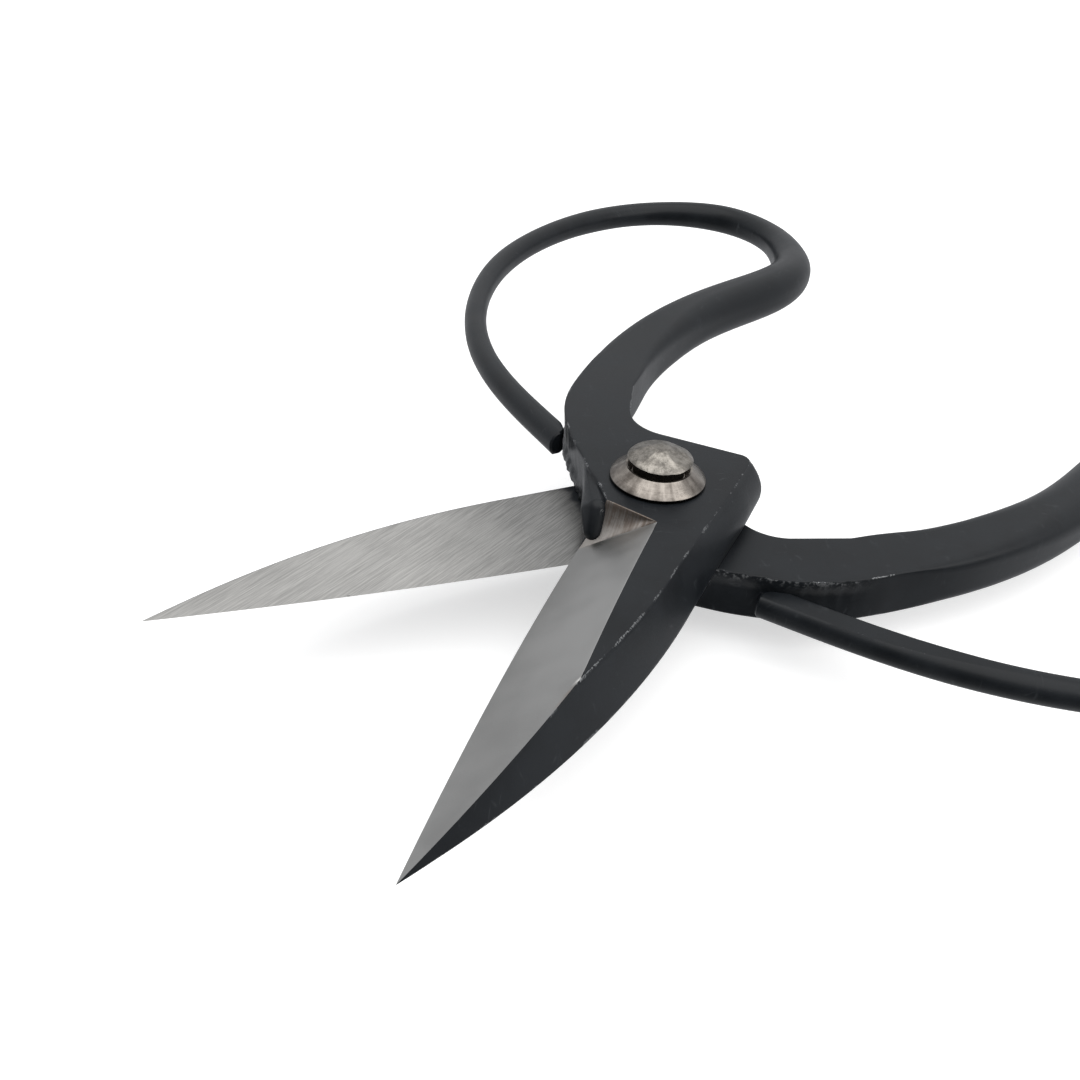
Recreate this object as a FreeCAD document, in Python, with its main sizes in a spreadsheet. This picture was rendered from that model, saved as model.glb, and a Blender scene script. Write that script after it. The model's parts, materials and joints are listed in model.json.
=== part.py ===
import FreeCAD, Part
import math
import os

import Sketcher
from FreeCAD import Placement, Rotation, Vector

# Forged floral snips: two identical forged halves, turned over onto each other and joined by one
# hammered rivet with a turned cup washer under each of its heads.
#
# Frame: +Z up along the rivet, the origin on the flat of the lower rivet head, the blades towards -Y
# and the finger loops towards +Y. Each half is drawn on its own first, mating face down on z = 0,
# rivet axis on the origin, tip on -Y, cutting edge on -X and its shank and loop at the left of +Y.

DIMENSIONS = (
    ("blade_reach", 62.0, "rivet axis to tip"),
    ("slab", 6.2, "thickness of a forged half at the rivet"),
    ("opening_angle", 42.0, "angle between the blades as the snips lie"),
    ("running_gap", 0.05, "between faces that slide on each other"),
    ("edge_root_left", 5.65, "cutting edge root, left of the axis"),
    ("edge_root_ahead", 10.6, "cutting edge root, ahead of the axis"),
    ("edge_bulge", 0.58, "sagitta of the cutting edge"),
    ("bevel_width", 9.0, "width of the ground bevel in plan"),
    ("spine_offset", 10.5, "widest point of the spine from the axis"),
    ("spine_apex_ahead", 16.0, "that point ahead of the axis"),
    ("side_draft", 2.2, "how far the outer sides lean in over the slab"),
    ("head_swell", 1.8, "how far the outer side of the head swells at mid height"),
    ("back_offset", 11.0, "rivet axis to the back edge of the head"),
    ("corner_radius", 1.6, "outer back corner of the head"),
    ("neck_width", 8.3, "shank where it leaves the head"),
    ("neck_left", 15.9, "shank centre at its root, left of the axis"),
    ("neck_back", 22.5, "shank centre at its root, behind the axis"),
    ("scoop_ahead", 8.7, "top line of the scoop behind the bevel"),
    ("scoop_run", 2.8, "how far the scoop wall leans forward over the slab"),
    ("scoop_skew", 9.6, "angle of the scoop line to the cross line"),
    ("tongue_radius", 1.1, "rounded tongue left beside the scoop"),
    ("shank_depth", 8.1, "height of the round shank"),
    ("bow_back", 114.6, "rivet axis to the far end of the loop's centre line"),
    ("bow_out", 53.8, "rivet axis to the outer side of the loop's centre line"),
    ("bow_width", 5.6, "bar at the far end of the loop"),
    ("tail_width", 3.9, "bar at the tail of the loop"),
    ("tail_gap", 0.35, "tail end to the neck"),
    ("tail_facet", 0.45, "depth ground off the tail on its mating side"),
    ("shaft_radius", 2.5, "rivet shaft"),
    ("bore_clearance", 0.05, "radial, shaft in the halves and washers"),
    ("collar_radius", 3.2, "rivet under its head"),
    ("collar_height", 2.1, "cup floor to the underside of the rivet head"),
    ("crown_radius", 4.1, "rivet head"),
    ("crown_edge", 0.2, "rise of the rivet head's edge from its underside"),
    ("crown_rise", 1.35, "edge of the rivet head to its flat"),
    ("flat_radius", 1.2, "flat hammered on the rivet head"),
    ("land_radius", 6.0, "cup washer, foot"),
    ("land_height", 0.35, "cup washer, height of its foot"),
    ("rim_radius", 4.15, "cup washer, rim"),
    ("washer_height", 1.85, "cup washer"),
    ("cup_radius", 3.85, "cup washer, mouth of the cup"),
    ("cup_floor_radius", 3.35, "cup washer, floor of the cup"),
    ("cup_floor", 0.75, "cup washer, height of the floor"),
)

OVERSHOOT = 1.0  # how far a cutting tool stands past the metal that it cuts
DRAWN_REACH = 92.5  # the loop's stations are drawn for this reach behind the neck
DRAWN_OUT = 53.8  # and for this distance out from the axis


def make_sheet(doc):
    """The driving dimensions, one row each: name, value, note."""
    sheet = doc.addObject("Spreadsheet::Sheet", "Sizes")
    for row, (alias, value, note) in enumerate(DIMENSIONS, start=1):
        sheet.set(f"A{row}", alias)
        sheet.set(f"B{row}", str(value))
        sheet.set(f"C{row}", note)
        sheet.setAlias(f"B{row}", alias)
    doc.recompute()
    return sheet


class Sizes:
    """Reads a driving dimension from the sheet by its alias: sizes.slab."""

    def __init__(self, sheet):
        self.sheet = sheet

    def __getattr__(self, alias):
        return float(self.sheet.get(alias))


# ---------------------------------------------------------------- plane geometry


def point_on(centre, radius, angle, height=0.0):
    """A point of a circle, the angle in degrees from +X."""
    turn = math.radians(angle)
    return Vector(
        centre.x + radius * math.cos(turn), centre.y + radius * math.sin(turn), height
    )


def angle_at(centre, point):
    """The direction from a centre to a point, in degrees from +X."""
    return math.degrees(math.atan2(point.y - centre.y, point.x - centre.x))


def arc_centre(start, end, sagitta, side):
    """Centre and radius of the arc over a chord; side is +1 when the centre is right of the chord."""
    chord = end - start
    radius = chord.Length**2 / (8 * sagitta) + sagitta / 2
    across = Vector(chord.y, -chord.x, 0).normalize()
    return (start + end) * 0.5 + across * (radius - sagitta) * side, radius


def chain(points, height):
    """A closed wire at one height: a plain point ends a line, a pair (via, end) ends an arc."""
    lift = Vector(0, 0, height)
    edges = []
    last = points[0]
    for item in points[1:] + [points[0]]:
        if isinstance(item, tuple):
            via, end = item
            edges.append(Part.Arc(last + lift, via + lift, end + lift).toShape())
        else:
            end = item
            edges.append(Part.makeLine(last + lift, end + lift))
        last = end
    return Part.Wire(edges)


# ---------------------------------------------------------------- the forged half


def spine_circle(sizes):
    """The spine is an arc from the tip to the widest point, where it runs parallel to Y."""
    along = sizes.blade_reach - sizes.spine_apex_ahead
    radius = (along**2 + sizes.spine_offset**2) / (2 * sizes.spine_offset)
    return Vector(sizes.spine_offset - radius, -sizes.spine_apex_ahead, 0), radius


def slab_wire(sizes, lean, swell):
    """Plan of head and blade, from the mating face (lean 0) to the outer face (lean 1)."""
    centre, radius = spine_circle(sizes)
    draft = sizes.side_draft * lean
    spine_radius = radius - draft
    tip_angle = angle_at(centre, Vector(0, -sizes.blade_reach, 0))
    spine_side = sizes.spine_offset - draft
    flare = 0.3 + 0.6 * lean  # the head is this much wider than the blade's widest point
    side = spine_side + flare + swell
    head_front = 3.0
    back = sizes.back_offset
    corner = sizes.corner_radius
    corner_centre = Vector(side - corner, back - corner, 0)
    neck_right = sizes.neck_width / 2 - sizes.neck_left
    neck_far_left = -sizes.neck_width / 2 - sizes.neck_left
    notch_start = Vector(-3.6, back, 0)
    notch_middle = Vector(-7.2, back + 1.2, 0)
    notch_end = Vector(-9.4, back + 4.3, 0)
    neck_middle = Vector(-17.6, 11.0, 0)
    shoulder = Vector(-12.5, 3.1, 0)
    throat = Vector(-7.6 + 1.3 * lean, -4.0 + 0.3 * lean, 0)
    edge_root = Vector(-sizes.edge_root_left, -sizes.edge_root_ahead, 0)
    scoop_corner = edge_root + Vector(2.0, sizes.scoop_run, 0) * lean
    return chain(
        [
            point_on(centre, spine_radius, tip_angle - 3),
            (point_on(centre, spine_radius, tip_angle / 2), Vector(spine_side, centre.y, 0)),
            Vector(side, head_front, 0),
            Vector(side, back - corner, 0),
            (point_on(corner_centre, corner, 45), Vector(side - corner, back, 0)),
            notch_start,
            (notch_middle, notch_end),
            Vector(neck_right, sizes.neck_back, 0),
            Vector(neck_far_left, sizes.neck_back, 0),
            (neck_middle, shoulder),
            throat,
            scoop_corner,
            scoop_corner + Vector(-6, -8, 0),
            Vector(-14, -sizes.blade_reach, 0),
        ],
        sizes.slab * lean,
    )


def bevel_cutter(sizes):
    """What grinding takes off: all above the bevel cone, as far back as the wall of the scoop."""
    tip = Vector(0, -sizes.blade_reach, 0)
    root = Vector(-sizes.edge_root_left, -sizes.edge_root_ahead, 0)
    centre, radius = arc_centre(tip, root, sizes.edge_bulge, 1)
    slope = sizes.bevel_width / sizes.slab
    cone = Part.makeCone(
        radius + slope * OVERSHOOT,
        radius - slope * (sizes.slab + OVERSHOOT),
        sizes.slab + 2 * OVERSHOOT,
        centre - Vector(0, 0, OVERSHOOT),
    )
    lean = sizes.scoop_run / sizes.slab
    wall = [
        Vector(0, -sizes.scoop_run - lean * OVERSHOOT, -OVERSHOOT),
        Vector(0, lean * OVERSHOOT, sizes.slab + OVERSHOOT),
        Vector(0, -1.5 * sizes.blade_reach, sizes.slab + OVERSHOOT),
        Vector(0, -1.5 * sizes.blade_reach, -OVERSHOOT),
    ]
    profile = Part.Face(Part.makePolygon(wall + wall[:1]))
    width = 1.5 * sizes.blade_reach
    profile.translate(Vector(-width / 2, 0, 0))
    front = profile.extrude(Vector(width, 0, 0))
    front.rotate(Vector(), Vector(0, 0, 1), -sizes.scoop_skew)
    front.translate(Vector(0, -sizes.scoop_ahead, 0))
    return front.cut(cone)


def tongue(sizes):
    """The rounded end of the neck's outer side, left standing beside the scoop."""
    top = Vector(-5.9, -5.4, sizes.slab / 2)
    end = Vector(-4.2, -9.0, sizes.slab * 0.37)
    axis = end - top
    rod = Part.makeCylinder(sizes.tongue_radius, axis.Length, top, axis)
    return rod.fuse(Part.makeSphere(sizes.tongue_radius, end))


def bar_stations(sizes):
    """Shank and loop from the head to the tail: centre x and y, width, depth, centre z, roundness.

    They are drawn for one size of loop and stretch with bow_back and bow_out.
    """
    half = sizes.slab / 2
    high = half + 0.3
    stretch = (sizes.bow_back - sizes.neck_back) / DRAWN_REACH
    spread = sizes.bow_out / DRAWN_OUT
    wide = sizes.neck_width
    deep = sizes.shank_depth
    bow = sizes.bow_width
    tail = sizes.tail_width

    def place(left, behind, width, depth, height, roundness):
        y = sizes.neck_back + behind * stretch
        return -left * spread, y, width, depth, height, roundness

    return [
        (-sizes.neck_left, sizes.neck_back, wide, sizes.slab, half, 0.2),
        place(16.7, 10.5, wide, sizes.slab + 0.2, half, 0.35),
        place(16.2, 21.5, wide - 0.1, sizes.slab + 0.8, half + 0.1, 0.55),
        place(13.9, 33.5, wide - 0.1, deep - 0.3, high, 0.85),
        place(9.6, 46, wide, deep, high, 0.9),
        place(5.3, 57.5, wide - 0.1, deep, high, 0.9),
        place(4.3, 67, wide - 0.6, deep - 0.5, high, 0.9),
        place(7.0, 76, wide - 1.6, deep - 1.3, high, 0.9),
        place(13.2, 86, bow + 0.2, bow + 0.1, high, 0.9),
        place(25.5, DRAWN_REACH, bow, bow, high, 0.9),
        place(38.4, 88, bow - 0.7, bow - 0.7, high, 0.9),
        place(48.3, 75.5, bow - 1.0, bow - 1.0, high, 0.9),
        place(53.0, 60, bow - 1.3, bow - 1.3, high, 0.9),
        place(DRAWN_OUT, 42, tail + 0.3, tail + 0.3, half + 0.1, 0.9),
        place(50.6, 27.5, tail, tail, half, 0.9),
        place(44.6, 13.5, tail - 0.2, tail - 0.2, half, 0.9),
        place(36.6, 2, tail - 0.1, tail - 0.1, half, 0.9),
        (-27.2, 15.5, tail, tail, half, 0.85),
        (-16.6, 7.5, tail, tail, half, 0.85),
    ]


def bar_section(centre, along, width, depth, roundness):
    """A rectangle with rounded corners across the bar, nearly round where roundness is near 1."""
    across = Vector(along.y, -along.x, 0).normalize()
    up = Vector(0, 0, 1)
    corner = roundness * min(width, depth) / 2
    points = []
    for u, v in ((1, 1), (-1, 1), (-1, -1), (1, -1)):
        hub = centre + across * (u * (width / 2 - corner)) + up * (v * (depth / 2 - corner))
        side, cap = across * (u * corner), up * (v * corner)
        via = hub + (side + cap) * math.sqrt(0.5)
        start, end = (side, cap) if u * v > 0 else (cap, side)
        points += [hub + start, (via, hub + end)]
    return chain(points, 0)


def bar(sizes):
    """Shank and loop in one tapering bar, its tail cut parallel to the neck and ground flat."""
    stations = bar_stations(sizes)
    centres = [Vector(x, y, z) for x, y, _, _, z, _ in stations]
    line = Part.BSplineCurve()
    line.interpolate(Points=centres, InitialTangent=Vector(0, 1, 0), FinalTangent=Vector(8, -6, 0))
    sections = []
    for centre, (_, _, width, depth, _, roundness) in zip(centres, stations):
        along = line.tangent(line.parameter(centre))[0]
        sections.append(bar_section(centre, along, width, depth, roundness))
    solid = Part.makeLoft(sections, True, False)

    # the block stands on the neck's outer side, and only the part of it near the neck cuts
    neck_low = Vector(-15.1, 6.9, 0)
    neck_high = Vector(-17.3, 10.3, 0)
    neck_line = neck_low - neck_high
    outward = Vector(neck_line.y, -neck_line.x, 0).normalize()
    size = 30
    block = Part.makeBox(size, size, size, Vector(-size / 2, 0, -size / 2))
    block.rotate(Vector(), Vector(0, 0, 1), angle_at(Vector(), outward) + 90)
    block.translate((neck_low + neck_high) / 2 + outward * sizes.tail_gap)
    near_neck = Part.makeBox(14, 14, 2 * sizes.slab, Vector(-28, 4, -sizes.slab / 2))
    solid = solid.cut(block.common(near_neck))

    facet_height = (sizes.slab - sizes.tail_width) / 2 + sizes.tail_facet
    facet_length = 40
    facet_width = 9
    facet_corner = Vector(-facet_length, -facet_width / 2, -OVERSHOOT)
    facet = Part.makeBox(facet_length, facet_width, facet_height + OVERSHOOT, facet_corner)
    facet.rotate(Vector(), Vector(0, 0, 1), -45)
    facet.translate(Vector(-15.0, 5.0, 0))
    return solid.cut(facet)


def add_half(doc, sizes, label):
    """One forged half: slab, bar and tongue in one piece, ground, and bored for the rivet."""
    pieces = []
    outlines = [
        slab_wire(sizes, 0, 0),
        slab_wire(sizes, 0.45, sizes.head_swell),
        slab_wire(sizes, 1, 0),
    ]
    slab = Part.makeLoft(outlines, True, True)
    for name, shape in (
        ("slab", slab.cut(bevel_cutter(sizes))),
        ("bar", bar(sizes)),
        ("tongue", tongue(sizes)),
    ):
        piece = doc.addObject("Part::Feature", f"{label}_{name}")
        piece.Shape = shape
        pieces.append(piece)
    forging = doc.addObject("Part::MultiFuse", f"{label}_forging")
    forging.Shapes = pieces
    bore = doc.addObject("Part::Cylinder", f"{label}_bore")
    bore.setExpression("Radius", "Sizes.shaft_radius + Sizes.bore_clearance")
    bore.setExpression("Height", f"Sizes.slab + {2 * OVERSHOOT}")
    bore.Placement.Base = Vector(0, 0, -OVERSHOOT)
    half = doc.addObject("Part::Cut", f"{label}_piece")
    half.Base = forging
    half.Tool = bore
    half.Label = label
    return half


# ---------------------------------------------------------------- turned pieces


def plane_of(body, role):
    """One of a body's own origin planes or axes, found by its role."""
    return next(item for item in body.Origin.OriginFeatures if item.Role == role)


def terms_of(spec):
    """The aliases that add up to a corner's radius or height; "zero" has none."""
    return [] if spec == "zero" else [alias.strip() for alias in spec.split("+")]


def crown_arc(edge, flat):
    """The arc of a hammered head from its edge up to its flat, level where it meets the flat."""
    run = edge.x - flat.x
    rise = flat.y - edge.y
    radius = (run**2 + rise**2) / (2 * rise)
    centre = Vector(flat.x, flat.y - radius, 0)
    return Part.ArcOfCircle(
        Part.Circle(centre, Vector(0, 0, 1), radius),
        math.radians(angle_at(centre, edge)),
        math.pi / 2,
    )


def add_turned(doc, sizes, name, corners, crown=None):
    """A body turned about Z from a closed profile whose corners are (radius, height) in aliases.

    The edge that leaves corner number crown is the arc of a hammered head.
    """
    body = doc.addObject("PartDesign::Body", name)
    sketch = body.newObject("Sketcher::SketchObject", f"{name}_profile")
    sketch.AttachmentSupport = [(plane_of(body, "XZ_Plane"), "")]
    sketch.MapMode = "FlatFace"
    places = [
        Vector(*(sum(getattr(sizes, alias) for alias in terms_of(spec)) for spec in corner), 0)
        for corner in corners
    ]
    count = len(places)
    for number, start in enumerate(places):
        end = places[(number + 1) % count]
        edge = crown_arc(start, end) if number == crown else Part.LineSegment(start, end)
        sketch.addGeometry(edge, False)
    for number, corner in enumerate(corners):
        sketch.addConstraint(
            Sketcher.Constraint("Coincident", (number - 1) % count, 2, number, 1)
        )
        directions = ("DistanceX", "DistanceY")
        for kind, spec, amount in zip(directions, corner, places[number]):
            index = sketch.addConstraint(
                Sketcher.Constraint(kind, -1, 1, number, 1, amount)
            )
            if terms_of(spec):
                total = " + ".join(f"Sizes.{alias}" for alias in terms_of(spec))
                sketch.setExpression(f"Constraints[{index}]", total)
    turned = body.newObject("PartDesign::Revolution", f"{name}_turned")
    turned.Profile = sketch
    turned.ReferenceAxis = (sketch, ["V_Axis"])
    turned.Angle = 360
    body.Tip = turned
    sketch.Visibility = False
    return body, turned


def add_rivet(doc, sizes):
    """The rivet, drawn from its middle up, then mirrored: shaft, collar, hammered head."""
    seat = "slab + running_gap + cup_floor"
    under = f"{seat} + collar_height"
    edge = f"{under} + crown_edge"
    top = f"{edge} + crown_rise"
    corners = [
        ("zero", "zero"),
        ("shaft_radius", "zero"),
        ("shaft_radius", seat),
        ("collar_radius", seat),
        ("collar_radius", under),
        ("crown_radius", under),
        ("crown_radius", edge),
        ("flat_radius", top),
        ("zero", top),
    ]
    body, turned = add_turned(doc, sizes, "pivot_rivet", corners, crown=6)
    mirrored = body.newObject("PartDesign::Mirrored", "pivot_rivet_mirrored")
    mirrored.Originals = [turned]
    mirrored.MirrorPlane = (plane_of(body, "XY_Plane"), [""])
    body.Tip = mirrored
    return body


def add_washer(doc, sizes, name):
    """A cup washer, drawn foot down on its seat."""
    corners = [
        ("shaft_radius + bore_clearance", "zero"),
        ("land_radius", "zero"),
        ("land_radius", "land_height"),
        ("rim_radius", "washer_height"),
        ("cup_radius", "washer_height"),
        ("cup_floor_radius", "cup_floor"),
        ("shaft_radius + bore_clearance", "cup_floor"),
    ]
    return add_turned(doc, sizes, name, corners)[0]


# ---------------------------------------------------------------- assembly


def check(doc, pieces):
    """Stops when any object failed to recompute or any piece is not a good solid."""
    for item in doc.Objects:
        if "Invalid" in item.State or "Error" in item.State:
            raise RuntimeError(f"{item.Label} did not recompute: {item.State}")
    for piece in pieces:
        shape = piece.Shape
        if shape.isNull() or not shape.isValid() or len(shape.Solids) != 1:
            raise RuntimeError(f"{piece.Label} is not one valid solid")


def build():
    """Makes the document and gives back the five pieces, each in its place."""
    doc = FreeCAD.newDocument("floral_snips")
    sizes = Sizes(make_sheet(doc))
    stack = ("slab", "running_gap", "cup_floor", "collar_height", "crown_edge", "crown_rise")
    middle = " + ".join(f"Sizes.{alias}" for alias in stack)

    upper = add_half(doc, sizes, "upper_half")
    upper.Placement = Placement(Vector(), Rotation(Vector(0, 0, 1), 1))
    upper.setExpression("Placement.Rotation.Angle", "Sizes.opening_angle / 2")
    upper.setExpression("Placement.Base.z", middle)

    # The same forging turned over: a half turn about a level axis a quarter of the opening off Y.
    lower = add_half(doc, sizes, "lower_half")
    lean = math.radians(sizes.opening_angle / 4)
    turn_over = Rotation(Vector(math.sin(lean), math.cos(lean), 0), 180)
    lower.Placement = Placement(Vector(), turn_over)
    lower.setExpression("Placement.Base.z", f"{middle} - Sizes.running_gap")

    rivet = add_rivet(doc, sizes)
    rivet.setExpression("Placement.Base.z", middle)

    seat = "(Sizes.slab + Sizes.running_gap)"
    upper_washer = add_washer(doc, sizes, "upper_cup_washer")
    upper_washer.setExpression("Placement.Base.z", f"{middle} + {seat}")
    lower_washer = add_washer(doc, sizes, "lower_cup_washer")
    lower_washer.Placement = Placement(Vector(), Rotation(Vector(1, 0, 0), 180))
    lower_washer.setExpression("Placement.Base.z", f"{middle} - {seat}")

    doc.recompute()
    pieces = [upper, lower, rivet, upper_washer, lower_washer]
    check(doc, pieces)
    return pieces


def main():
    pieces = build()
    os.makedirs("parts", exist_ok=True)
    for piece in pieces:
        piece.Shape.exportStep(f"parts/{piece.Label}.step")
        box = piece.Shape.BoundBox
        print(
            f"{piece.Label}: {piece.Shape.Volume:.0f} mm3, "
            f"{box.XLength:.1f} x {box.YLength:.1f} x {box.ZLength:.1f} mm, "
            f"z {box.ZMin:.2f} to {box.ZMax:.2f}"
        )


main()
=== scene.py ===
import json
import math

import bmesh
import bpy
import numpy as np
from mathutils import Matrix, Vector, noise
from mathutils.geometry import delaunay_2d_cdt


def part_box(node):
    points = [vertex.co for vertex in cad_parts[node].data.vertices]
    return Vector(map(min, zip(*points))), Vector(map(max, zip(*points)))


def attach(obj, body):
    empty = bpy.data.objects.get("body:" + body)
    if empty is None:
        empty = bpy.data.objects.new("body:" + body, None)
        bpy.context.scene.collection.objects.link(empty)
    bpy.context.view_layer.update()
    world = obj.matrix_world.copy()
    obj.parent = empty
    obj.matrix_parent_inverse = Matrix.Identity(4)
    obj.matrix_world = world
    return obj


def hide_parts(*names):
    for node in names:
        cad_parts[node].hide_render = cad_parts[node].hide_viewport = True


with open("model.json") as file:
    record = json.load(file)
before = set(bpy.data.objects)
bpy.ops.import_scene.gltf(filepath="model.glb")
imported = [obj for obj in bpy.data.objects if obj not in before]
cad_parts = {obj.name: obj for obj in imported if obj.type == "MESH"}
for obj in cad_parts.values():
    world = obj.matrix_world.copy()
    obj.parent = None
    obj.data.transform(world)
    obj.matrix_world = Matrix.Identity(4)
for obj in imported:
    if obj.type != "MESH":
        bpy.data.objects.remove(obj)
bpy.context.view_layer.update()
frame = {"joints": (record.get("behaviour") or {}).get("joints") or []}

pivotHeight = frame["joints"][0]["pos_m"][2]  # the face where the two halves meet
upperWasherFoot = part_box("upper_cup_washer")[0].z
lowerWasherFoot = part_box("lower_cup_washer")[1].z
runningGap = 0.05  # mm, between the halves and under the upper washer
slabDepth = (upperWasherFoot - pivotHeight) * 1000 - runningGap
openingAngle = 42.0  # degrees between the blades
print("frame loaded, slab", round(slabDepth, 2), "mm")


# small helpers for shapes

def smoothLine(points, count):
    # natural cubic spline through a few points, as evenly spaced points
    points = np.asarray(points, float)
    steps = np.hypot(*np.diff(points[:, :2], axis=0).T)
    t = np.concatenate([[0], np.cumsum(steps)])
    n = len(t)
    a = np.zeros((n, n))
    b = np.zeros((n, points.shape[1]))
    a[0, 0] = a[-1, -1] = 1
    gap = np.diff(t)
    for i in range(1, n - 1):
        a[i, i - 1:i + 2] = gap[i - 1], 2 * (gap[i - 1] + gap[i]), gap[i]
        b[i] = 6 * ((points[i + 1] - points[i]) / gap[i] - (points[i] - points[i - 1]) / gap[i - 1])
    bend = np.linalg.solve(a, b)
    x = np.linspace(0, t[-1], count)
    i = np.clip(np.searchsorted(t, x, side="right") - 1, 0, n - 2)
    g = gap[i][:, None]
    u = (x - t[i])[:, None]
    v = g - u
    return (
        bend[i] * v**3 / (6 * g)
        + bend[i + 1] * u**3 / (6 * g)
        + (points[i] / g - bend[i] * g / 6) * v
        + (points[i + 1] / g - bend[i + 1] * g / 6) * u
    )


def atHeightOf(line, y):
    # x of a line at a given y
    order = np.argsort(line[:, 1])
    return np.interp(y, line[order, 1], line[order, 0])


def nearestTo(line, spot):
    return np.min(np.hypot(*(line - spot).T))


def lerp(a, b, t):
    return a + (b - a) * t


def ease(t):
    t = min(max(t, 0.0), 1.0)
    return t * t * (3 - 2 * t)


def linkObject(name, data):
    obj = bpy.data.objects.new(name, data)
    bpy.context.scene.collection.objects.link(obj)
    return obj


def bakeModifiers(obj):
    # the evaluated result as a plain mesh, with the modifiers gone
    graph = bpy.context.evaluated_depsgraph_get()
    mesh = bpy.data.meshes.new_from_object(obj.evaluated_get(graph))
    old = obj.data
    obj.modifiers.clear()
    obj.data = mesh
    bpy.data.meshes.remove(old)
    return mesh


def meshFrom(bm, name):
    mesh = bpy.data.meshes.new(name)
    bm.to_mesh(mesh)
    bm.free()
    return mesh


def openEdges(bm):
    return sum(not edge.is_manifold for edge in bm.edges)


# small helpers for nodes

def feed(node, inputs):
    # links what comes from another node and sets what is a plain value
    for key, value in inputs.items():
        if isinstance(value, bpy.types.NodeSocket):
            node.id_data.links.new(value, node.inputs[key])
        else:
            node.inputs[key].default_value = value


def nodeAdder(tree):
    def add(kind, inputs=None, **settings):
        node = tree.nodes.new(kind)
        for key, value in settings.items():
            setattr(node, key, value)
        feed(node, inputs or {})
        return node
    return add


def number(add, operation, a, b=0.0):
    return add("ShaderNodeMath", {0: a, 1: b}, operation=operation).outputs[0]


def times(add, a, b):
    return number(add, "MULTIPLY", a, b)


def weighed(add, *parts):
    # sum of fields, each times its share
    total = times(add, *parts[0])
    for value, share in parts[1:]:
        total = number(add, "ADD", total, times(add, value, share))
    return total


def band(add, value, low, high, outLow=0.0, outHigh=1.0):
    node = add(
        "ShaderNodeMapRange",
        {"Value": value, "From Min": low, "From Max": high, "To Min": outLow, "To Max": outHigh},
        interpolation_type="SMOOTHSTEP",
    )
    return node.outputs["Result"]


def blendTone(add, mask, first, second):
    return add("ShaderNodeMix", {0: mask, 6: first, 7: second}, data_type="RGBA").outputs[2]


def cloudy(add, place, scale, detail, roughness=0.5):
    node = add("ShaderNodeTexNoise",
               {"Vector": place, "Scale": scale, "Detail": detail, "Roughness": roughness})
    return node.outputs["Fac"]


def vectorStep(add, operation, a, b=(0, 0, 0)):
    return add("ShaderNodeVectorMath", {0: a, 1: b}, operation=operation).outputs


# camera, floor and light

cameraView = {
    "distance": 0.13207,       # from the pivot
    "azimuth": 36.48,          # degrees round from straight in front of the tips
    "elevation": 33.207,
    "turn": -5.99,             # then aimed a little beside the pivot
    "lift": -1.987,
    "roll": 7.872,
    "lens": 34.18,
    "sensor": 36.0,
    "clip": (0.005, 20.0),
}


def swung(first, second, angle):
    # two square directions turned together, the first towards the second
    return (first * math.cos(angle) + second * math.sin(angle),
            second * math.cos(angle) - first * math.sin(angle))


def placeCamera(view):
    azimuth, elevation, turn, lift, roll = (
        math.radians(view[key]) for key in ("azimuth", "elevation", "turn", "lift", "roll"))
    away = Vector((math.sin(azimuth), -math.cos(azimuth), 0)) * math.cos(elevation)
    away.z = math.sin(elevation)
    ahead = -away
    right = ahead.cross(Vector((0, 0, 1))).normalized()
    up = right.cross(ahead)
    ahead, right = swung(ahead, right, turn)
    ahead, up = swung(ahead, up, lift)
    right, up = swung(right, up, roll)
    data = bpy.data.cameras.new("benchCamera")
    data.lens = view["lens"]
    data.sensor_width = view["sensor"]
    data.clip_start, data.clip_end = view["clip"]
    camera = linkObject("benchCamera", data)
    turned = Matrix((right, up, -ahead)).transposed().to_4x4()
    spot = Vector((0, 0, pivotHeight)) + away * view["distance"]
    camera.matrix_world = Matrix.Translation(spot) @ turned
    bpy.context.scene.camera = camera


placeCamera(cameraView)

studio = {
    "floorSize": 6.0,
    "floorTone": (0.70, 0.70, 0.70, 1),
    "floorRough": 0.9,
    "floorShine": 0.1,
    "floorGlow": 0.55,           # the paper glows a little, which keeps shadows pale
    # sky colours from straight down to straight up, on the dim side and round the rest
    "dimSide": ((0.06, (0.80, 0.80, 0.80, 1)), (0.21, (0.025, 0.027, 0.030, 1)),
                (0.47, (0.025, 0.027, 0.030, 1)), (0.60, (0.15, 0.155, 0.165, 1)),
                (0.97, (1.0, 1.0, 1.0, 1))),
    "paleSide": ((0.40, (0.62, 0.63, 0.65, 1)), (0.60, (0.60, 0.61, 0.63, 1)),
                 (0.97, (1.0, 1.0, 1.0, 1))),
    "dimToward": (0.594, -0.804, 0.0),
    "dimFade": (-0.1, 0.65),
    "seenTone": (1.1, 1.1, 1.1, 1),  # the room itself looks as pale as the floor
    "worldStrength": 0.95,
    "lights": [
        # name, place, aim, size, power, colour
        ("overhead", (0.25, -0.15, 1.30), (0, 0, 0), 2.2, 15.0, (1, 1, 1)),
        ("side", (0.95, 0.35, 0.55), (0, 0, 0.01), 0.6, 1.6, (1, 0.99, 0.97)),
    ],
}


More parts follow.
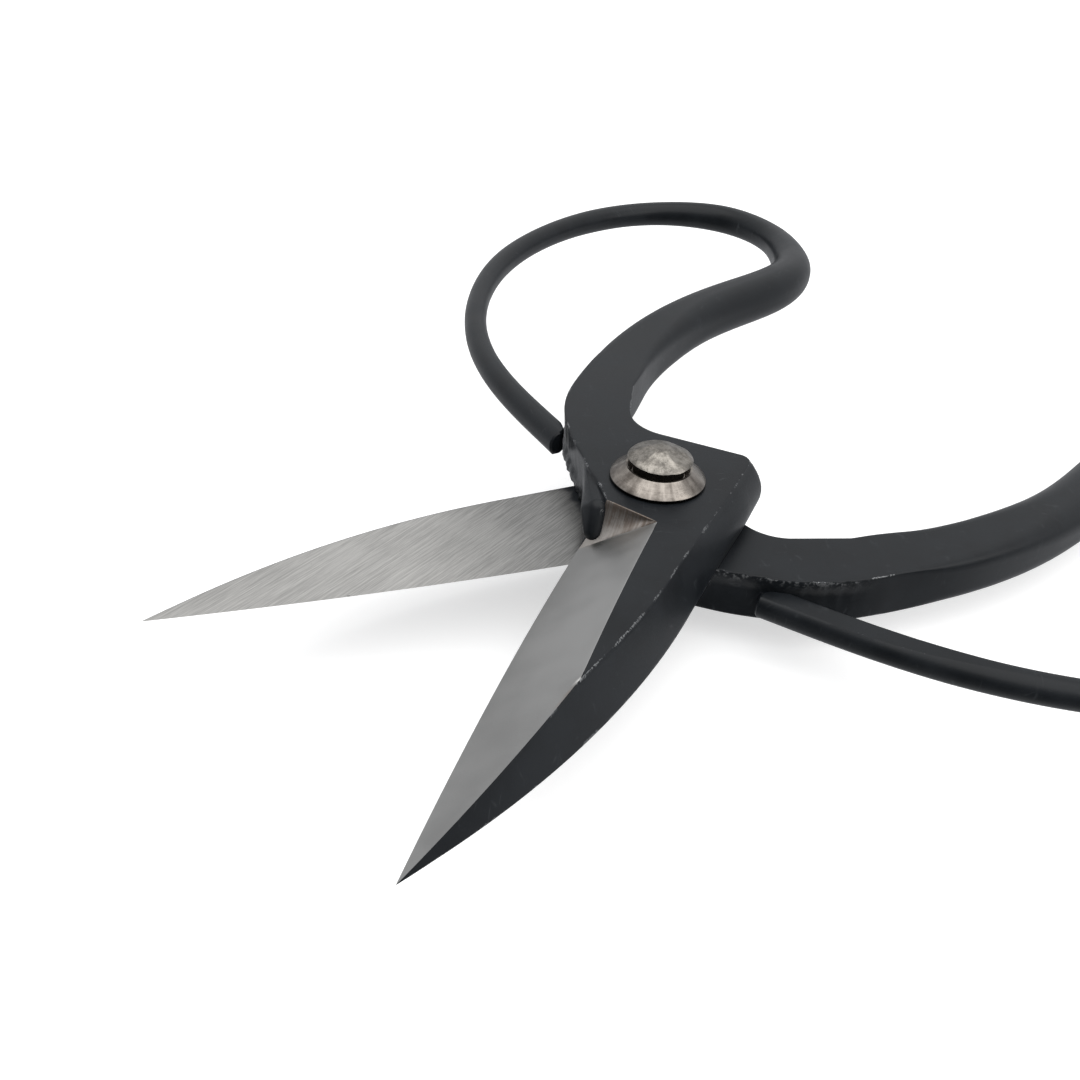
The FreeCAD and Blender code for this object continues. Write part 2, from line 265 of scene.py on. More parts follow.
def paleRoom(setup):
    # a soft tent, brightest overhead, with one dim side
    world = bpy.data.worlds.new("paleRoom")
    world.use_nodes = True
    add = nodeAdder(world.node_tree)
    toward = add("ShaderNodeTexCoord").outputs["Generated"]
    upward = add("ShaderNodeSeparateXYZ", {0: toward}).outputs["Z"]
    height = add("ShaderNodeMapRange", {"Value": upward, "From Min": -1.0}).outputs["Result"]
    skies = []
    for stops in (setup["paleSide"], setup["dimSide"]):
        fade = add("ShaderNodeValToRGB", {"Fac": height})
        while len(fade.color_ramp.elements) < len(stops):
            fade.color_ramp.elements.new(0.5)
        for stop, (at, colour) in zip(fade.color_ramp.elements, stops):
            stop.position = at
            stop.color = colour
        skies.append(fade.outputs["Color"])
    facing = vectorStep(add, "DOT_PRODUCT", toward, setup["dimToward"])["Value"]
    sky = blendTone(add, band(add, facing, *setup["dimFade"]), *skies)
    straightOn = add("ShaderNodeLightPath").outputs["Is Camera Ray"]
    feed(world.node_tree.nodes["Background"], {
        "Color": blendTone(add, straightOn, sky, setup["seenTone"]),
        "Strength": setup["worldStrength"],
    })
    return world


def buildStudio(setup):
    scene = bpy.context.scene
    scene.view_settings.view_transform = "Standard"
    scene.world = paleRoom(setup)
    half = setup["floorSize"] / 2
    mesh = bpy.data.meshes.new("paleFloor")
    corners = [(-half, -half, 0), (half, -half, 0), (half, half, 0), (-half, half, 0)]
    mesh.from_pydata(corners, [], [(0, 1, 2, 3)])
    floor = linkObject("paleFloor", mesh)
    paint = bpy.data.materials.new("palePaper")
    paint.use_nodes = True
    feed(paint.node_tree.nodes["Principled BSDF"], {
        "Base Color": setup["floorTone"],
        "Roughness": setup["floorRough"],
        "Specular IOR Level": setup["floorShine"],
        "Emission Color": (1, 1, 1, 1),
        "Emission Strength": setup["floorGlow"],
    })
    mesh.materials.append(paint)
    floor.visible_glossy = False  # dark steel mirrors the room, not the paper
    for name, place, aim, size, power, colour in setup["lights"]:
        data = bpy.data.lights.new(name, "AREA")
        data.shape = "SQUARE"
        data.size = size
        data.energy = power
        data.color = colour
        lamp = linkObject(name, data)
        look = (Vector(aim) - Vector(place)).to_track_quat("-Z", "Y")
        lamp.matrix_world = Matrix.Translation(Vector(place)) @ look.to_matrix().to_4x4()


buildStudio(studio)
print("camera, floor and lights in place")


# shader groups that the metals share

def sharedGroup(name, inputs, build):
    # inputs without a value are places, the others numbers; every output is a number
    tree = bpy.data.node_groups.new(name, "ShaderNodeTree")
    for label, value in inputs.items():
        kind = "NodeSocketVector" if value is None else "NodeSocketFloat"
        socket = tree.interface.new_socket(name=label, in_out="INPUT", socket_type=kind)
        if value is not None:
            socket.default_value = value
    add = nodeAdder(tree)
    outputs = build(add, add("NodeGroupInput").outputs)
    for label in outputs:
        tree.interface.new_socket(name=label, in_out="OUTPUT", socket_type="NodeSocketFloat")
    add("NodeGroupOutput", outputs)
    return tree


def edgeRub(add, given):
    # broken bright line where the black has rubbed off an edge
    broad = cloudy(add, given["Place"], given["Patch"], 3.0)
    fine = cloudy(add, given["Place"], 5.0, 4.0, 0.7)
    rub = times(add, given["Edge"], band(add, broad, 0.36, 0.62))
    grainy = times(add, rub, band(add, fine, 0.34, 0.60))
    cut = number(add, "SUBTRACT", 1.0, given["Wear"])
    return {"Mask": band(add, grainy, cut, number(add, "ADD", cut, 0.22))}


def fineScratches(add, given):
    # sparse fine scratches, each set in its own direction
    turned = add("ShaderNodeVectorRotate", {"Vector": given["Place"], "Angle": given["Angle"]},
                 rotation_type="Z_AXIS")
    shape = add("ShaderNodeCombineXYZ", {0: 1.0, 1: given["Length"], 2: given["Length"]})
    squeezed = vectorStep(add, "MULTIPLY", turned.outputs[0], shape.outputs[0])[0]
    wander = add("ShaderNodeTexNoise", {"Vector": given["Place"], "Scale": 0.25, "Detail": 1.0})
    shifted = vectorStep(add, "ADD", squeezed, wander.outputs["Color"])[0]
    cells = add("ShaderNodeTexVoronoi", {"Vector": shifted, "Scale": given["Scale"]},
                feature="DISTANCE_TO_EDGE")
    patches = cloudy(add, given["Place"], 0.5, 2.0)
    keep = band(add, patches, number(add, "SUBTRACT", 0.85, given["Amount"]),
                number(add, "SUBTRACT", 1.0, given["Amount"]))
    line = band(add, cells.outputs["Distance"], 0.0, 0.016, 1.0, 0.0)
    return {"Mask": times(add, line, keep)}


def paleSpecks(add, given):
    # scattered pale specks of dust and bare metal
    warp = add("ShaderNodeTexNoise", {"Vector": given["Place"], "Scale": 4.0, "Detail": 2.0})
    moved = vectorStep(add, "ADD", warp.outputs["Color"], given["Place"])[0]
    cells = add("ShaderNodeTexVoronoi", {"Vector": moved, "Scale": given["Scale"]}).outputs
    dot = band(add, cells["Distance"], times(add, given["Size"], 0.5), given["Size"], 1.0, 0.0)
    chance = add("ShaderNodeSeparateColor", {0: cells["Color"]}).outputs[0]
    return {"Mask": times(add, dot, number(add, "LESS_THAN", chance, given["Share"]))}


def grindLines(add, given):
    # parallel grinding lines: long fine streaks at an angle
    turned = add("ShaderNodeVectorRotate", {"Vector": given["Place"], "Angle": given["Angle"]},
                 rotation_type="Z_AXIS")
    along = number(add, "DIVIDE", 1.0, given["Length"])
    shape = add("ShaderNodeCombineXYZ", {0: along, 1: 1.0, 2: 1.0})
    squeezed = vectorStep(add, "MULTIPLY", turned.outputs[0], shape.outputs[0])[0]
    fine = cloudy(add, squeezed, given["Fineness"], 5.0, 0.65)
    broad = cloudy(add, squeezed, 0.6, 2.0)
    return {"Height": fine, "Tone": weighed(add, (fine, 0.75), (broad, 0.25))}


groups = {
    "edge": sharedGroup("edgeRub", {"Place": None, "Edge": 0.0, "Wear": 0.5, "Patch": 0.6}, edgeRub),
    "scratch": sharedGroup("fineScratches", {"Place": None, "Angle": 0.0, "Scale": 0.3,
                                             "Length": 12.0, "Amount": 0.5}, fineScratches),
    "speck": sharedGroup("paleSpecks", {"Place": None, "Scale": 0.8, "Size": 0.12, "Share": 0.2},
                         paleSpecks),
    "grind": sharedGroup("grindLines", {"Place": None, "Angle": 0.0, "Fineness": 5.0,
                                        "Length": 14.0}, grindLines),
}


def placed(add, group, **inputs):
    return add("ShaderNodeGroup", inputs, node_tree=groups[group]).outputs


def newMetal(name):
    # an empty material and a way to add nodes to it
    material = bpy.data.materials.new(name)
    material.use_nodes = True
    return material, nodeAdder(material.node_tree)


def finished(material, add, tone, rough, metal, relief, bump, gloss=0.5):
    # the shader of one metal, with its relief as a bump of some strength and depth
    strength, distance = bump
    bumped = add("ShaderNodeBump", {"Height": relief, "Strength": strength, "Distance": distance})
    feed(material.node_tree.nodes["Principled BSDF"], {
        "Base Color": tone, "Roughness": rough, "Metallic": metal, "Specular IOR Level": gloss,
        "Normal": bumped.outputs["Normal"],
    })
    return material


def forgePlace(add):
    # the half's own millimetres, so every pattern turns with the half
    return add("ShaderNodeAttribute", attribute_name="forgePlace").outputs["Vector"]


def attribute(add, name):
    return add("ShaderNodeAttribute", attribute_name=name).outputs["Fac"]


def millimetres(add):
    # the washers' and the rivet's own place
    spot = add("ShaderNodeTexCoord").outputs["Object"]
    return add("ShaderNodeVectorMath", {0: spot, 3: 1000.0}, operation="SCALE").outputs[0]


# finishes; pattern scales are per millimetre, a bump is its strength and its depth in metres,
# and a contrast is the span of a mixed pattern that runs from the low tone to the high one

noiseSpan = (0.3, 0.7)  # where most of a noise lies

blackFinish = {
    "deep": (0.0065, 0.0078, 0.0095, 1),
    "lifted": (0.0100, 0.0120, 0.0145, 1),
    "rubbed": (0.22, 0.225, 0.23, 1),
    "dusty": (0.12, 0.13, 0.14, 1),
    "roughness": (0.27, 0.42),
    "gloss": 0.25,
    "rub": {"Wear": 0.50, "Patch": 0.33},
    "longScratch": {"Angle": 1.1, "Scale": 0.22, "Length": 0.07, "Amount": 0.30},
    "shortScratch": {"Angle": -0.5, "Scale": 0.5, "Length": 0.16, "Amount": 0.30},
    "specks": {"Scale": 0.70, "Size": 0.07, "Share": 0.14},
    "cloud": 0.16,
    "grain": 7.0,
    "pits": 1.5,
    "lumps": 1.7,
    "lumpDepth": 5.0,
    "scuffShares": (0.10, 0.16),     # how far long and short scratches show
    "speckShare": 0.35,
    "crustShare": 0.55,
    "bareShare": 0.9,
    "bump": (0.30, 0.00006),
}


def blackCoat(add, place, finish):
    # satin black over forged steel, rubbed through along its edges
    cloud = cloudy(add, place, finish["cloud"], 5.0, 0.6)
    grain = cloudy(add, place, finish["grain"], 4.0, 0.75)
    tone = blendTone(add, band(add, cloud, *noiseSpan), finish["deep"], finish["lifted"])
    rub = placed(add, "edge", Place=place, Edge=attribute(add, "edgeRub"), **finish["rub"])["Mask"]
    long = placed(add, "scratch", Place=place, **finish["longScratch"])["Mask"]
    short = placed(add, "scratch", Place=place, **finish["shortScratch"])["Mask"]
    specks = placed(add, "speck", Place=place, **finish["specks"])["Mask"]
    scuff = weighed(add, *zip((long, short), finish["scuffShares"]))
    tone = blendTone(add, scuff, tone, finish["dusty"])
    tone = blendTone(add, times(add, specks, finish["speckShare"]), tone, finish["dusty"])
    tone = blendTone(add, rub, tone, finish["rubbed"])
    mixed = weighed(add, (cloud, 0.5), (grain, 0.5))
    rough = band(add, mixed, *noiseSpan, *finish["roughness"])
    pits = add("ShaderNodeTexVoronoi", {"Vector": place, "Scale": finish["pits"]},
               feature="SMOOTH_F1").outputs["Distance"]
    # coarse forge skin where the side walls were left as hammered
    lumps = cloudy(add, place, finish["lumps"], 6.0, 0.72)
    skin = attribute(add, "forgeSkin")
    crust = times(add, band(add, lumps, 0.50, 0.60), band(add, skin, 0.55, 1.05))
    tone = blendTone(add, times(add, crust, finish["crustShare"]), tone, finish["rubbed"])
    relief = weighed(add, (grain, 0.5), (band(add, pits, 0.0, 0.35), 0.15), (scuff, -0.3),
                     (times(add, lumps, skin), finish["lumpDepth"]))
    return tone, rough, times(add, rub, finish["bareShare"]), relief


def blackenedSteel(finish):
    material, add = newMetal("blackenedSteel")
    tone, rough, metal, relief = blackCoat(add, forgePlace(add), finish)
    return finished(material, add, tone, rough, metal, relief, finish["bump"], finish["gloss"])


bevelFinish = {
    "low": (0.365, 0.362, 0.354, 1),
    "high": (0.455, 0.452, 0.442, 1),
    "warm": (0.33, 0.22, 0.15, 1),   # heat colour on the bevel beside the ridge's end
    "nick": (0.08, 0.08, 0.08, 1),
    "contrast": (0.35, 0.65),
    "nickShare": 0.6,
    "warmShare": 0.75,
    "roughness": (0.36, 0.46),
    "lines": {"Angle": -0.25, "Fineness": 9.0, "Length": 10.0},
    "nicks": {"Scale": 0.5, "Size": 0.05, "Share": 0.25},
    "cloud": 0.11,
    "bump": (0.10, 0.00003),
}


def groundBevel(finish):
    # fine satin grind across the cutting bevel
    material, add = newMetal("groundBevel")
    place = forgePlace(add)
    lines = placed(add, "grind", Place=place, **finish["lines"])
    nicks = placed(add, "speck", Place=place, **finish["nicks"])["Mask"]
    mixed = weighed(add, (lines["Tone"], 0.35), (cloudy(add, place, finish["cloud"], 2.0), 0.65))
    tone = blendTone(add, band(add, mixed, *finish["contrast"]), finish["low"], finish["high"])
    tone = blendTone(add, times(add, nicks, finish["nickShare"]), tone, finish["nick"])
    heat = times(add, attribute(add, "heatTint"), finish["warmShare"])
    tone = blendTone(add, heat, tone, finish["warm"])
    rough = band(add, lines["Tone"], *noiseSpan, *finish["roughness"])
    return finished(material, add, tone, rough, 1.0, lines["Height"], finish["bump"])


scoopFinish = {
    "low": (0.20, 0.165, 0.14, 1),
    "high": (0.48, 0.45, 0.42, 1),
    "nick": (0.08, 0.08, 0.08, 1),
    "contrast": (0.36, 0.66),
    "nickShare": 0.5,
    "roughness": (0.50, 0.34),
    "wallAlong": (0.986, -0.167),    # the wall's direction seen from above
    "marks": 2.4,
    "markRun": 0.06,
    "stain": 0.7,
    "shade": (1.5, 6.2, 0.12, -0.10),  # painted shade: from low on the wall to its top, paler to darker
    "pits": {"Scale": 2.2, "Size": 0.2, "Share": 0.3},
    "bump": (0.5, 0.00012),
}


def scoopSteel(finish):
    # coarse wheel marks in the scoop behind the bevel, a little brown in the grooves, with painted shade
    # darker towards the wall's top
    material, add = newMetal("scoopSteel")
    place = forgePlace(add)
    # the wheel ran up and down the wall, so its marks hold one place along it
    x, y, z = add("ShaderNodeSeparateXYZ", {0: place}).outputs
    along = weighed(add, (x, finish["wallAlong"][0]), (y, finish["wallAlong"][1]))
    flat = add("ShaderNodeCombineXYZ", {0: along, 1: times(add, z, finish["markRun"])}).outputs[0]
    marks = cloudy(add, flat, finish["marks"], 5.0, 0.7)
    stain = cloudy(add, place, finish["stain"], 4.0)
    pitted = placed(add, "speck", Place=place, **finish["pits"])["Mask"]
    # painted shade: the wall's tone darkens towards its top
    mixed = weighed(add, (marks, 0.65), (stain, 0.35), (band(add, z, *finish["shade"]), 1.0))
    tone = blendTone(add, band(add, mixed, *finish["contrast"]), finish["low"], finish["high"])
    tone = blendTone(add, times(add, pitted, finish["nickShare"]), tone, finish["nick"])
    rough = band(add, mixed, *noiseSpan, *finish["roughness"])
    return finished(material, add, tone, rough, 1.0, mixed, finish["bump"])


matingFinish = {
    # painted shade: the bare face is darker at its root, under the upper half, and lighter towards the tip
    "root": ((0.20, 0.20, 0.195, 1), (0.38, 0.375, 0.365, 1)),
    "tip": ((0.40, 0.393, 0.38, 1), (0.64, 0.63, 0.605, 1)),
    "rootToTip": (-11.0, -34.0),
    "nick": (0.08, 0.08, 0.08, 1),
    "contrast": (0.38, 0.62),
    "nickShare": 0.8,
    "roughness": (0.40, 0.30),
    "coarse": {"Angle": -1.04, "Fineness": 4.6, "Length": 40.0},
    "fine": {"Angle": -1.00, "Fineness": 12.0, "Length": 30.0},
    "nicks": {"Scale": 0.42, "Size": 0.07, "Share": 0.16},
    "cloud": 0.10,
    "bareToBlack": (-8.3, -5.3),
    "ragged": (0.5, 3.0),            # scale and reach of the black's uneven border
}


def matingFace(finish, coating):
    # slanting grind marks on the face that slides, still black behind the pivot, with painted shade
    # darkening the bare face towards its root
    material, add = newMetal("matingFace")
    place = forgePlace(add)
    lines = placed(add, "grind", Place=place, **finish["coarse"])["Height"]
    fine = placed(add, "grind", Place=place, **finish["fine"])["Height"]
    nicks = placed(add, "speck", Place=place, **finish["nicks"])["Mask"]
    mixed = weighed(add, (lines, 0.50), (fine, 0.35), (cloudy(add, place, finish["cloud"], 2.0), 0.15))
    y = add("ShaderNodeSeparateXYZ", {0: place}).outputs[1]
    lineShare = band(add, mixed, *finish["contrast"])
    # painted shade: the bare tone fades from the shaded root to the lighter tip
    bare = blendTone(add, band(add, y, *finish["rootToTip"]),
                     blendTone(add, lineShare, *finish["root"]),
                     blendTone(add, lineShare, *finish["tip"]))
    bare = blendTone(add, times(add, nicks, finish["nickShare"]), bare, finish["nick"])
    scale, reach = finish["ragged"]
    border = weighed(add, (y, 1.0), (cloudy(add, place, scale, 4.0), reach))
    coat = band(add, border, *finish["bareToBlack"])
    bareRough = band(add, mixed, *noiseSpan, *finish["roughness"])
    tone, *dark = blackCoat(add, place, coating)
    rough, metal, relief = (
        add("ShaderNodeMix", {0: coat, 2: clean, 3: coated}).outputs[0]
        for clean, coated in zip((bareRough, 1.0, mixed), dark))
    return finished(material, add, blendTone(add, coat, bare, tone), rough, metal, relief,
                    coating["bump"], coating["gloss"])


turnedFinish = {
    "low": (0.13, 0.114, 0.10, 1),
    "high": (0.38, 0.345, 0.31, 1),
    "grime": (0.05, 0.045, 0.04, 1),
    "shadedFootEdge": (0.006, 0.006, 0.006, 1),
    "landRadius": (5.94, 5.98),      # outside this the foot's edge is painted near black: painted shade and painted reflection of the dark steel around it
    "contrast": (0.40, 0.60),
    "grimeShare": 0.7,
    "roughness": (0.34, 0.22),
    "rings": 9.0,
    "stain": 0.7,
    # scale of the painted reflection's light and dark sectors round the cone
    "reflectedSectors": 2.6,
    "pits": {"Scale": 1.3, "Size": 0.12, "Share": 0.25},
    "bump": (0.45, 0.00003),
}


def turnedSteel(finish):
    # bright lathe-turned cone with fine rings and small pits
    material, add = newMetal("turnedSteel")
    mm = millimetres(add)
    flat = vectorStep(add, "MULTIPLY", mm, (1, 1, 0))[0]
    radius = vectorStep(add, "LENGTH", flat)["Value"]
    rings = cloudy(add, add("ShaderNodeCombineXYZ", {0: radius}).outputs[0], finish["rings"], 4.0, 0.8)
    stain = cloudy(add, mm, finish["stain"], 5.0, 0.65)
    pits = placed(add, "speck", Place=mm, **finish["pits"])["Mask"]
    # painted reflection: light and dark sectors round the cone, which also vary its roughness
    reflectedSectors = cloudy(add, vectorStep(add, "NORMALIZE", flat)[0], finish["reflectedSectors"], 5.0, 0.62)
    mixed = weighed(add, (rings, 0.22), (stain, 0.33), (reflectedSectors, 0.45))
    tone = blendTone(add, band(add, mixed, *finish["contrast"]), finish["low"], finish["high"])
    tone = blendTone(add, times(add, pits, finish["grimeShare"]), tone, finish["grime"])
    # painted shade and painted reflection: the foot's edge darkened to near black
    tone = blendTone(add, band(add, radius, *finish["landRadius"]), tone, finish["shadedFootEdge"])
    rough = band(add, mixed, *noiseSpan, *finish["roughness"])
    return finished(material, add, tone, rough, 1.0, rings, finish["bump"])


rivetFinish = {
    "low": (0.14, 0.13, 0.116, 1),
    "high": (0.37, 0.345, 0.31, 1),
    "grime": (0.03, 0.028, 0.026, 1),
    "contrast": (0.36, 0.64),
    "grimeShare": 0.3,
    "roughness": (0.46, 0.28),
    "stain": 0.9,
    "grain": 9.0,
    "scratches": {"Angle": 0.7, "Scale": 0.9, "Length": 0.2, "Amount": 0.5},
    "bump": (0.5, 0.00008),
}


def hammeredSteel(finish):
    # peened rivet head: dull, brownish, with scale left in the hollows
    material, add = newMetal("hammeredSteel")
    mm = millimetres(add)
    stain = cloudy(add, mm, finish["stain"], 6.0, 0.7)
    fine = placed(add, "scratch", Place=mm, **finish["scratches"])["Mask"]
    mixed = weighed(add, (stain, 0.7), (cloudy(add, mm, finish["grain"], 3.0), 0.3))
    tone = blendTone(add, band(add, mixed, *finish["contrast"]), finish["low"], finish["high"])
    tone = blendTone(add, times(add, fine, finish["grimeShare"]), tone, finish["grime"])
    rough = band(add, stain, *noiseSpan, *finish["roughness"])
    return finished(material, add, tone, rough, 1.0, mixed, finish["bump"])


black = blackenedSteel(blackFinish)
bevelMetal = groundBevel(bevelFinish)
scoopMetal = scoopSteel(scoopFinish)
matingMetal = matingFace(matingFinish, blackFinish)
washerMetal = turnedSteel(turnedFinish)
rivetMetal = hammeredSteel(rivetFinish)
print("six finishes made")


# the forged half: head, blade, neck, shank and loop in one skin, all in millimetres

halfSizes = {
    "reach": 62.0,               # tip ahead of the pivot
    "edgeRoot": (-5.65, -10.6),  # back end of the cutting edge
    "edgeBulge": 0.58,
    "bevelWidth": 9.0,
    "spineOffset": 10.5,
    "spineApex": -16.0,
    "sideDraft": 2.2,
    "headSwell": 1.3,
    "headLow": 0.3,              # how far the head stands out past the spine, below and above
    "headHigh": 0.9,
    "headFront": 3.0,
    "back": 11.0,
    "backLean": 0.25,
    "corner": 1.6,
    "notch": ((-9.4, 4.3), (-7.2, 1.2), (-3.6, 0.0)),  # arc from the neck, behind the back's line
    "ridgeCurve": 1.15,
    "spineColumns": 34,
    "ridgeColumns": 46,
    "bevelColumns": 40,
    "scoopAhead": 8.7,
    "scoopRun": 2.8,
    "scoopSkew": 9.6,
    "scoopStart": 2.0,
    "scoopHollow": -0.35,
    "neckLow": ((-6.2, -7.8), (-6.9, -5.8), (-8.0, -3.5), (-10.1, 0.0), (-12.4, 3.1),
                (-15.1, 6.9), (-17.3, 10.6), (-19.2, 16.0)),
    "neckHigh": ((-5.0, -5.9), (-6.4, -4.2), (-7.9, -2.7), (-10.7, 0.8), (-12.9, 3.4),
                 (-15.3, 6.9), (-17.4, 10.6), (-19.2, 16.0)),
    "neckColumns": 56,
    "bore": 2.55,
    "boreSegments": 96,
    "rows": 9,                   # rows up a side, between its rounded edges
    "edgeRound": 0.12,
    "rubWidth": 0.35,
    "rubReach": 5.0,             # edges are rubbed more this near the ridge's end
    "ledge": 0.30,               # step left by the forging dies along the neck
    "flashShare": 0.30,          # how much of the neck's outer side the thicker flash takes
    "flashRagged": 0.35,
    "heatAt": 2.2,               # ahead of the ridge's end
    "heatSpread": 2.6,
    "heatFrom": 0.72,            # share of the way up the bevel
    "weld": 0.0015,
    "sharpAngle": 42,
}

# neck and bar: x, y, width, depth, height of centre, roundness
barStations = [
    (-15.9, 22.5, 8.3, 6.2, 3.1, 0.10),
    (-16.7, 32.95, 8.3, 6.4, 3.1, 0.35),
    (-16.2, 43.91, 8.2, 7.0, 3.2, 0.55),
    (-13.9, 55.86, 8.2, 7.8, 3.4, 0.80),
    (-9.6, 68.3, 8.3, 8.1, 3.4, 0.90),
    (-5.3, 79.75, 8.2, 8.1, 3.4, 0.92),
    (-4.3, 89.21, 7.7, 7.6, 3.4, 0.94),
    (-7.0, 98.17, 6.7, 6.8, 3.4, 0.95),
    (-13.2, 108.13, 5.8, 5.7, 3.4, 0.96),
    (-25.5, 114.55, 5.6, 5.6, 3.4, 0.96),
    (-38.4, 110.1, 4.9, 4.9, 3.4, 0.96),
    (-48.3, 97.67, 4.6, 4.6, 3.4, 0.96),
    (-53.0, 82.24, 4.3, 4.3, 3.4, 0.96),
    (-53.7, 64.32, 4.2, 4.2, 3.2, 0.96),
    (-50.6, 49.88, 3.9, 3.9, 3.1, 0.96),
    (-44.6, 35.94, 3.7, 3.7, 3.1, 0.96),
    (-36.6, 24.49, 3.8, 3.8, 3.1, 0.96),
    (-27.2, 15.5, 3.9, 3.9, 3.1, 0.92),
    (-16.6, 7.5, 3.9, 3.9, 3.1, 0.90),
    (-12.6, 4.5, 3.9, 3.9, 3.1, 0.90),
]

barSizes = {
    "fineSteps": 1400,
    "rings": 420,
    "across": 13,                # points over the neck's width
    "settleRun": 14,             # the neck's section is the bar's own after this run
    "turnRun": 8,
    "roundRun": 10,
    "firstRound": 0.16,
    "waviness": 0.04,
    "waves": ((0.11, 3.1), (0.13, 9.7)),  # scale and seed, for the width and for the depth
    "trim": 0.06,                # keeps the uneven skin inside the bar's drawn size
    "cutPoint": (-16.2, 8.6),
    "cutNormal": (-0.8396, -0.5433),
    "endPoint": (-15.8, 6.9),
    "endNormal": (-0.8, 0.6),
    "tailGap": 0.35,
    "tailFacet": 0.45,
    "tailRun": 30.0,
    "tailStretch": 15.0,         # the last rings lean towards the cut over this run
    "tailRings": 40,
    "bluntNose": 0.35,
    "noseBreak": 0.22,
    "capShares": (0.12, 0.35, 0.6, 0.85),
}


def circleThrough(first, second, bulge):
    # centre and radius of a shallow arc over a chord
    first, second = np.array(first), np.array(second)
    chord = second - first
    length = np.hypot(*chord)
    radius = length**2 / (8 * bulge) + bulge / 2
    across = np.array([chord[1], -chord[0]]) / length
    return (first + second) / 2 + across * (radius - bulge), radius


def onCircle(centre, radius, angle):
    return np.array([centre[0] + radius * math.cos(angle), centre[1] + radius * math.sin(angle)])


def angleFrom(centre, point):
    return math.atan2(point[1] - centre[1], point[0] - centre[0])


def crossing(firstCentre, firstRadius, secondCentre, secondRadius):
    # where two circles meet, the crossing nearer the tip
    apart = secondCentre - firstCentre
    d = np.hypot(*apart)
    a = (firstRadius**2 - secondRadius**2 + d * d) / (2 * d)
    h = math.sqrt(max(firstRadius**2 - a * a, 0.0))
    foot = firstCentre + apart * a / d
    side = np.array([-apart[1], apart[0]]) / d
    return min(foot + side * h, foot - side * h, key=lambda p: p[1])


def arcPoints(first, via, last, count):
    # points on the arc through three places
    (ax, ay), (bx, by), (cx, cy) = first, via, last
    d = 2 * (ax * (by - cy) + bx * (cy - ay) + cx * (ay - by))
    ux = ((ax**2 + ay**2) * (by - cy) + (bx**2 + by**2) * (cy - ay) + (cx**2 + cy**2) * (ay - by)) / d
    uy = ((ax**2 + ay**2) * (cx - bx) + (bx**2 + by**2) * (ax - cx) + (cx**2 + cy**2) * (bx - ax)) / d
    centre = np.array([ux, uy])
    radius = math.hypot(ax - ux, ay - uy)
    angles = np.unwrap([angleFrom(centre, p) for p in (first, via, last)])
    return [onCircle(centre, radius, lerp(angles[0], angles[2], t)) for t in np.linspace(0, 1, count)]


def straight(first, last, count):
    first, last = np.array(first, float), np.array(last, float)
    return [lerp(first, last, t) for t in np.linspace(0, 1, count)]


def outwardOf(points):
    # unit normals to the left of a line seen from above
    points = np.asarray(points, float)
    ahead = np.roll(points, -1, 0) - np.roll(points, 1, 0)
    ahead[0] = points[1] - points[0]
    ahead[-1] = points[-1] - points[-2]
    size = np.hypot(ahead[:, 0], ahead[:, 1])
    bad = size < 1e-9
    size[bad] = 1
    ahead[bad] = (0, 1)
    return np.stack([-ahead[:, 1], ahead[:, 0]], 1) / size[:, None]


def bladeLines(sizes, depth):
    # spine and bevel as pairs of a low and a high point, each with the height of its high point
    tip = np.array([0.0, -sizes["reach"]])
    edgeCentre, edgeRadius = circleThrough(tip, sizes["edgeRoot"], sizes["edgeBulge"])
    along = sizes["reach"] + sizes["spineApex"]
    spineRadius = (along**2 + sizes["spineOffset"] ** 2) / (2 * sizes["spineOffset"])
    spineCentre = np.array([sizes["spineOffset"] - spineRadius, sizes["spineApex"]])
    topRadius = edgeRadius - sizes["bevelWidth"]

    def ridgeAt(height):
        share = height / depth
        return crossing(edgeCentre, edgeRadius - sizes["bevelWidth"] * share,
                        spineCentre, spineRadius - sizes["sideDraft"] * share)

    ridgeTop = ridgeAt(depth)
    spine = []
    for angle in angleFrom(spineCentre, ridgeTop) * np.linspace(0, 1, sizes["spineColumns"]):
        spine.append((onCircle(spineCentre, spineRadius, angle),
                      onCircle(spineCentre, spineRadius - sizes["sideDraft"], angle), depth))
    heights = [depth * (1 - t) ** sizes["ridgeCurve"]
               for t in np.linspace(0, 1, sizes["ridgeColumns"])[1:]]
    ridge = [(ridgeAt(height), height) for height in heights]
    for spot, height in ridge:
        spine.append((onCircle(spineCentre, spineRadius, angleFrom(spineCentre, spot)), spot, height))
    bevel = []
    for spot, height in ridge[::-1]:
        bevel.append((onCircle(edgeCentre, edgeRadius, angleFrom(edgeCentre, spot)), spot, height))
    # the scoop's wall cuts the bevel cone along this line
    skew = math.radians(sizes["scoopSkew"])
    wallAlong = np.array([math.cos(skew), -math.sin(skew)])
    wallNormal = np.array([math.sin(skew), math.cos(skew)])

    def scoopAngle(share):
        base = np.array([0.0, -sizes["scoopAhead"]]) - wallNormal * sizes["scoopRun"] * (1 - share)
        radius = edgeRadius - sizes["bevelWidth"] * share
        rel = base - edgeCentre
        b = rel @ wallAlong
        reach = math.sqrt(b * b - (rel @ rel - radius * radius))
        return angleFrom(edgeCentre, base + wallAlong * (-b - reach)) % math.tau

    start = angleFrom(edgeCentre, ridgeTop) % math.tau
    for t in np.linspace(0, 1, sizes["bevelColumns"]):
        bevel.append((onCircle(edgeCentre, edgeRadius, lerp(start, scoopAngle(0.0), t)),
                      onCircle(edgeCentre, topRadius, lerp(start, scoopAngle(1.0), t)), depth))
    return spine, bevel, ridgeTop


